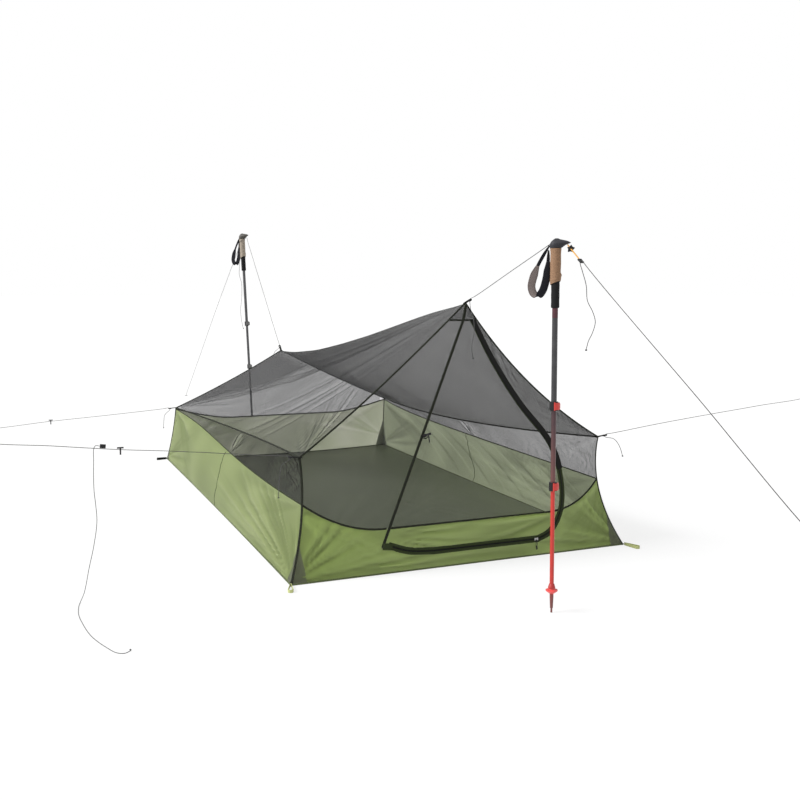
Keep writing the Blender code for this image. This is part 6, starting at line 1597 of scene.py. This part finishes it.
def makeToggle():
    z = door["toggleHeight"]
    seam = frontPoint(hingeX(z), z) + Vector((0.0, -0.005, 0.0))
    bm = bmesh.new()
    start, end = seam + Vector((0.001, -0.003, 0.004)), seam + Vector((0.026, -0.006, 0.009))
    rings = []
    for index, (place, across, up) in enumerate(framesAlong(between(start, end, 9), upward)):
        radius = 0.0044 * (0.75 if index in (0, 8) else 1 - 0.30 * hump(index / 8))
        rings.append(addRing(bm, [place + across * a * radius + up * b * radius for a, b in roundSection(1.0, 12)]))
    addSkin(bm, rings)
    middle = start.lerp(end, 0.5)
    for radius, spots in (
            (0.0019, ((seam, (0.0, 0.0, 0.003)), (seam, (0.006, -0.004, -0.001)), (middle, (0.001, -0.004, 0.0)),
                      (middle, (0.006, -0.001, -0.012)), (middle, (0.009, 0.0, -0.026)))),
            (0.0017, ((seam, (0.0, 0.0, -0.004)), (seam, (0.010, -0.004, -0.006)), (middle, (0.004, -0.002, -0.006)),
                      (middle, (0.009, 0.0, -0.026))))):
        loop = smoothSpans([base + Vector(away) for base, away in spots], 8)
        addSweep(bm, turningFrames(loop), roundSection(radius, 8))
    makePiece("doorToggle", bm, ["blackPlastic"], "binding")


def makeSliderParts():
    x, z = door["sliderX"], door["zipBottom"]
    y = frontPoint(x, z).y
    bm = bmesh.new()
    arch = [Vector((x + aside, y - out, z)) for aside, out in ((-0.0055, 0.0042), (-0.0045, 0.0058), (0.0, 0.0068),
                                                               (0.0045, 0.0058), (0.0055, 0.0042))]
    addSweep(bm, framesAlong(arch, upward), bandSection(0.0026, 0.0011))
    makePiece("sliderBridge", bm, ["sliderMetal"], "zip_metal", "zip_slider")
    bm = bmesh.new()
    top = Vector((x, -1.0669, z - 0.001))
    for sign in (-1, 1):
        spots = ((0.0006, -0.0004, 0.001), (0.0021, -0.0006, -0.010), (0.0022, -0.0006, -0.018),
                 (0.0009, -0.0006, -0.025))
        loop = smoothSpans([top + Vector((sign * aside, out, down)) for aside, out, down in spots], 6)
        addSweep(bm, turningFrames(loop, (0.0, 1.0, 0.1)), roundSection(0.0009, 8))
    grip = [top + Vector((0.0003 * i, -0.0006, -0.0215 - 0.0125 * i / 6)) for i in range(7)]
    addSweep(bm, framesAlong(grip, (0.0, -1.0, 0.0)), bandSection(0.0058, 0.0026, 12, 0.6))
    makePiece("zipPullCord", bm, ["blackPlastic"], "pull_cord", "zip_pull", ["zip_pull"])


stakeLoop = {"length": 0.062, "spread": 0.016, "width": 0.010, "thickness": 0.0014, "root": 0.0041,
             "rearReach": 0.78}


def makeStakeLoops():
    narrow, root = stakeLoop["spread"] / 2, stakeLoop["root"]
    tip = root + stakeLoop["length"] - narrow
    shape = [(root, 0.0), (root + 0.006, -0.0022)]
    shape += [(tip + narrow * math.cos(a), narrow * math.sin(a))
              for a in [-math.pi / 2 + math.pi * step / 12 for step in range(13)]]
    shape.append((root + 0.006, 0.0022))
    section = [(b, a) for a, b in bandSection(stakeLoop["width"], stakeLoop["thickness"])]
    for side, word in ((-1, "Left"), (1, "Right")):
        for end, width, y, pull, reach, paint in (
                ("Front", shelter["frontWidth"], frontY, (side * 0.32, -1.0, 0.0), 1.0, "paleWebbing"),
                ("Rear", shelter["rearWidth"], rearY, (side, -0.12, 0.0), stakeLoop["rearReach"], "darkWebbing")):
            base = aim((side * width / 2, y, 0.0), pull)
            points = [base @ Vector((x * reach, y, stakeLoop["width"] / 2 + 0.0002)) for x, y in shape]
            bm = bmesh.new()
            addSweep(bm, closedFrames(points, upward), section, closed=True)
            stitchLines["shelter"] += [[base @ Vector((x, -0.0032, z)) for z in (0.002, 0.005, 0.008)]
                                       for x in (0.010, 0.014)]
            makePiece("stake" + end + word, bm, [paint], "stake_webbing",
                      nodes=[f"stake_loop_{end.lower()}_{word.lower()}"])


makePatches()
makeMidLines()
makeToggle()
makeSliderParts()
makeStakeLoops()
for word, body in (("shelterStitches", "shelter"), ("doorStitches", "door")):
    rodsAlong(word, stitchLines[body], stitchLook, body)
print("bindings, zip and stitches made")


# Poles: heads, cork and foam grips, wrist straps, levers' ribs, basket collars and the plum band

strapShape = [(0.00, 0.0), (0.10, -0.15), (0.24, -0.39), (0.335, -0.63), (0.365, -0.79), (0.32, -0.92),
              (0.23, -0.97), (0.14, -0.88), (0.075, -0.70), (0.036, -0.49), (0.024, -0.27), (0.018, -0.09)]
strapCuts = ((0.0, 0.235, 0.0095, 0.0016), (0.215, 0.90, 0.0215, 0.0034), (0.885, 1.0, 0.0095, 0.0016))


def makeHead(word):
    bm = bmesh.new()
    sides = 44
    levels = [0.0, 0.06, 0.14, 0.22, 0.30, 0.38, 0.46, 0.54, 0.62, 0.70, 0.78, 0.86, 0.92]
    rings = [[headPoint(poles[word], up, 2 * math.pi * i / sides) for i in range(sides)] for up in levels]
    last = rings[-1]
    middle = sum(last, Vector()) / sides
    rings += [[middle.lerp(p, share) + Vector((0, 0, rise)) for p in last] for share, rise in ((0.72, 0.0016),
                                                                                              (0.38, 0.0026))]
    addSkin(bm, [addRing(bm, ring) for ring in rings])
    makePiece(word + "Head", bm, [word + "Head"], "head_plastic", nodes=[word + "_pole_head"],
              matrix=poleMatrix(word) @ Matrix.Translation((0.0, 0.0, neckHeight(word))))


def makeGrip(word):
    length, radius = poles[word]["cork"]
    foamLength, foamRadius = poles[word]["foam"]
    low = neckHeight(word) - length
    bore = poleParts["upperRadius"] + poleParts["gap"]         # the shafts slide inside the grip
    bm = bmesh.new()
    sides = 48
    rows = [[] for _ in range(36)]
    for i in range(sides):
        angle = 2 * math.pi * i / sides
        c, s = math.cos(angle), math.sin(angle)
        slant = 0.011 * (0.5 + 0.5 * c)
        front, rear = math.remainder(angle, 2 * math.pi) / 0.55, math.remainder(angle - math.pi, 2 * math.pi) / 0.8
        rows[0].append((bore * c, bore * s, low + slant))
        for step in range(34):
            t = step / 33
            away = (radius * betweenRings(corkShape, t)[0] + 0.0034 * math.exp(-((t - 0.20) / 0.055) ** 2 - front ** 2)
                    + 0.0010 * math.exp(-((t - 0.30) / 0.08) ** 2 - rear ** 2))
            height = low + length * t + slant * (1 - t) ** 3 - 0.0003 - 0.006 * (1 - t) ** 3
            rows[step + 1].append((away * c, away * s, height))
        rows[35].append((bore * c, bore * s, low + length - 0.0006))
    addSkin(bm, [addRing(bm, row) for row in rows], closed=True)
    makePiece(word + "Cork", bm, [word + "Cork"], "grip_cork", nodes=[word + "_pole_grip"], angle=60.0,
              matrix=poleMatrix(word))
    bm = bmesh.new()
    inside, bottom = poleParts["upperRadius"] + 0.0002, low - foamLength
    profile = [(inside, low + 0.008), (inside, bottom), (foamRadius * 0.86, bottom),
               (foamRadius * 0.97, bottom + 0.0015), (foamRadius, bottom + 0.004)]
    profile += [(foamRadius * (0.985 + 0.015 * math.cos(s * 0.9)), bottom + 0.004 + (foamLength - 0.004) * s / 16)
                for s in range(1, 17)]
    addTurned(bm, profile + [(foamRadius * 0.95, low + 0.008)], 40)
    makePiece(word + "Foam", bm, ["foam"], "grip_cork", nodes=[word + "_pole_grip"], angle=40.0,
              matrix=poleMatrix(word))


def makeStrap(word, turned, inner):
    sizes = poles[word]
    pin = Vector((-(sizes["cork"][1] + poleParts["overhang"] + 0.0013), 0.0, neckHeight(word) + poleParts["strapPin"]))
    base = poleMatrix(word)
    turn = base.to_3x3()
    points = [pin + Vector((-x * sizes["strap"], 0.0, z * sizes["strap"])) for x, z in strapShape]
    route = evenly(smoothSpans(points, 10), 0.003)
    sideways = Vector((0.0, 1.0, 0.0))
    wide = Matrix.Rotation(math.radians(turned), 3, "Z") @ sideways
    count = len(route)
    bm = bmesh.new()
    stitches = []
    for cut, (low, high, width, height) in enumerate(strapCuts):
        broad = cut == 1         # the padded middle, whose ends taper
        first, last = round(low * (count - 1)), round(high * (count - 1))
        frames = []
        for index in range(first, last + 1):
            ahead = aheadAt(route, index)
            share = clamp(index / (count - 1) / 0.12) * clamp((1 - index / (count - 1)) / 0.10)
            leant = wide.lerp(sideways, 1 - share)
            across = (leant - ahead * leant.dot(ahead)).normalized()
            grow = 0.45 + 0.55 * min(1.0, hump((index - first) / (last - first)) * 2.2) if broad else 1.0
            frames.append((base @ route[index], turn @ across * grow, turn @ across.cross(ahead)))
        addSweep(bm, frames, bandSection(width, height, 14), innerIndex=inner if broad else None)
        if broad:
            stitches += [[p + a * edge * width - u * height * 0.47 for p, a, u in frames[2:-2]]
                         for edge in (-0.42, 0.42)]
    makePiece(word + "Strap", bm, ["strapOuter", "strapLining"], "strap_webbing", word + "_strap",
              [word + "_pole_wrist_strap"])
    rodsAlong(word + "StrapStitches", stitches, dict(stitchLook, finish=finish["strapOuter"]), word + "_strap")


def makeTurned(name, word, profile, paint, body, slot):
    bm = bmesh.new()
    addTurned(bm, profile, 32)
    makePiece(name, bm, [paint], slot, body, angle=40.0, matrix=poleMatrix(word))


def makeLockDetails(word, part, paint):
    # ribs on the lever of a lock, and the lever's pivot pin
    height = poles[word][part + "Lock"]
    shaft = poleParts["upperRadius" if part == "upper" else "middleRadius"]
    inner = shaft + poleParts["gap"] + poleParts["clampWall"] + poleParts["leverGap"]
    thick = poleParts["leverThickness"]
    bm = bmesh.new()

    def addPin(angle, away, reach, radius, sides, outward):
        place = Vector((away * math.cos(angle), away * math.sin(angle), height))
        points = [place + upward * z for z in (-reach, 0.0, reach)]
        addSweep(bm, framesAlong(points, outward), roundSection(radius, sides))

    for step in range(5):
        angle = poleParts["leverStart"] + poleParts["leverArc"] * (0.62 + 0.085 * step)
        addPin(angle, inner + thick + 0.0002, 0.0065, 0.0006, 8, (math.cos(angle), math.sin(angle), 0.0))
    addPin(poleParts["leverStart"], inner + thick / 2, 0.0112, 0.0019, 14, (1.0, 0.0, 0.0))
    makePiece(word + part.capitalize() + "LeverRibs", bm, [paint], word + "_lever", f"{word}_{part}_lever", angle=40.0,
              matrix=poleMatrix(word))


def dress(paint, *nodes):
    for node in nodes:
        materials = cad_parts[node].data.materials
        materials.clear()
        materials.append(finish[paint])


for word, turned, inner in (("front", -60, 1), ("rear", -72, None)):
    makeHead(word)
    makeGrip(word)
    makeStrap(word, turned, inner)
for end in ("upper", "middle", "lower"):
    dress("front" + end.capitalize(), f"front_pole_{end}_shaft")
    dress("rearTube", f"rear_pole_{end}_shaft")
for word, lever in (("front", "redPlastic"), ("rear", "greyPlastic")):
    dress(lever, f"{word}_pole_upper_lever", f"{word}_pole_lower_lever")
    dress("blackPlastic", f"{word}_pole_upper_clamp", f"{word}_pole_lower_clamp")
dress("basketPlastic", "front_pole_basket")
dress("blackPlastic", "rear_pole_basket", "line_adjuster", "star_cleat", "cleat_front_left", "cleat_rear_left",
      "tail_buckle")
dress("sliderMetal", "zip_slider")
top = neckHeight("front") - poles["front"]["cork"][0] - poles["front"]["foam"][0] - 0.0002
low, radius = top + 0.0002 - poleParts["sleeveLength"], poleParts["upperRadius"] + 0.0002
makeTurned("plumSleeve", "front", [(radius - 0.0004, low), (radius, low + 0.0004), (radius, top - 0.0004),
                                   (radius - 0.0004, top)], "plumBand", "shelter", "front_shaft_upper")
low, radius = poleParts["hubBottom"], poleParts["ferrule"]
collar = [(radius, low), (0.0100, low + 0.0004), (0.0102, low + 0.0035), (0.0092, low + 0.006),
          (0.0075, low + 0.0125), (0.0068, low + 0.0132), (radius, low + 0.0134)]         # holds the basket
for word, paint in (("front", "hubPlastic"), ("rear", "blackPlastic")):
    makeTurned(word + "BasketHub", word, collar, paint, word + "_lower", word + "_basket")
for word, paint in (("front", "redPlastic"), ("rear", "greyPlastic")):
    for part in ("upper", "lower"):
        makeLockDetails(word, part, paint)
print("poles made")


# Stage

stage = {"floorSize": 60.0, "floorColour": (0.92, 0.92, 0.92), "skyLight": 0.64, "sunStrength": 3.4,
         "sunAngle": 25.0, "sunFrom": (-0.92, 0.22, 0.74), "shadowKeep": 0.25}


def seenStraight(tree):
    # 1 where it is seen straight, in gloss or through something, and 0 where it lights other things
    path = tree.nodes.new("ShaderNodeLightPath").outputs
    most = lambda first, second: addNode(tree, "ShaderNodeMath", {0: first, 1: second}, operation="MAXIMUM")
    return most(path["Is Camera Ray"], most(path["Is Glossy Ray"], path["Is Transmission Ray"]))


def makeStage():
    scene = bpy.context.scene
    scene.view_settings.view_transform = "Standard"
    scene.world = bpy.data.worlds.new("studio")
    scene.world.use_nodes = True
    tree = scene.world.node_tree
    strength = addNode(tree, "ShaderNodeMapRange", {"To Min": stage["skyLight"], "To Max": 1.0,
                                                    "Value": seenStraight(tree)}, "Result")
    setInputs(tree, tree.nodes["Background"], {"Color": (1.0, 1.0, 1.0, 1.0), "Strength": strength})
    half = stage["floorSize"] / 2
    edges = [(-half, -half, 0.0), (half, -half, 0.0), (half, half, 0.0), (-half, half, 0.0)]
    mesh = bpy.data.meshes.new("studioFloor")
    mesh.from_pydata(edges, [], [(0, 1, 2, 3)])
    floor = bpy.data.objects.new("studioFloor", mesh)
    paint = Paint("studioFloor", stage["floorColour"], 1.0, Specular_IOR_Level=0.0)
    paint.mixIn(paint.add("Emission", {}), paint.times(seenStraight(paint.tree), 1.0 - stage["shadowKeep"]))
    mesh.materials.append(paint.material)
    data = bpy.data.lights.new("sun", "SUN")
    data.energy, data.angle = stage["sunStrength"], math.radians(stage["sunAngle"])
    sun = bpy.data.objects.new("sun", data)
    for made in (floor, sun):
        scene.collection.objects.link(made)
    sun.rotation_mode = "QUATERNION"
    sun.rotation_quaternion = Vector(stage["sunFrom"]).to_track_quat("Z", "Y")


makeStage()
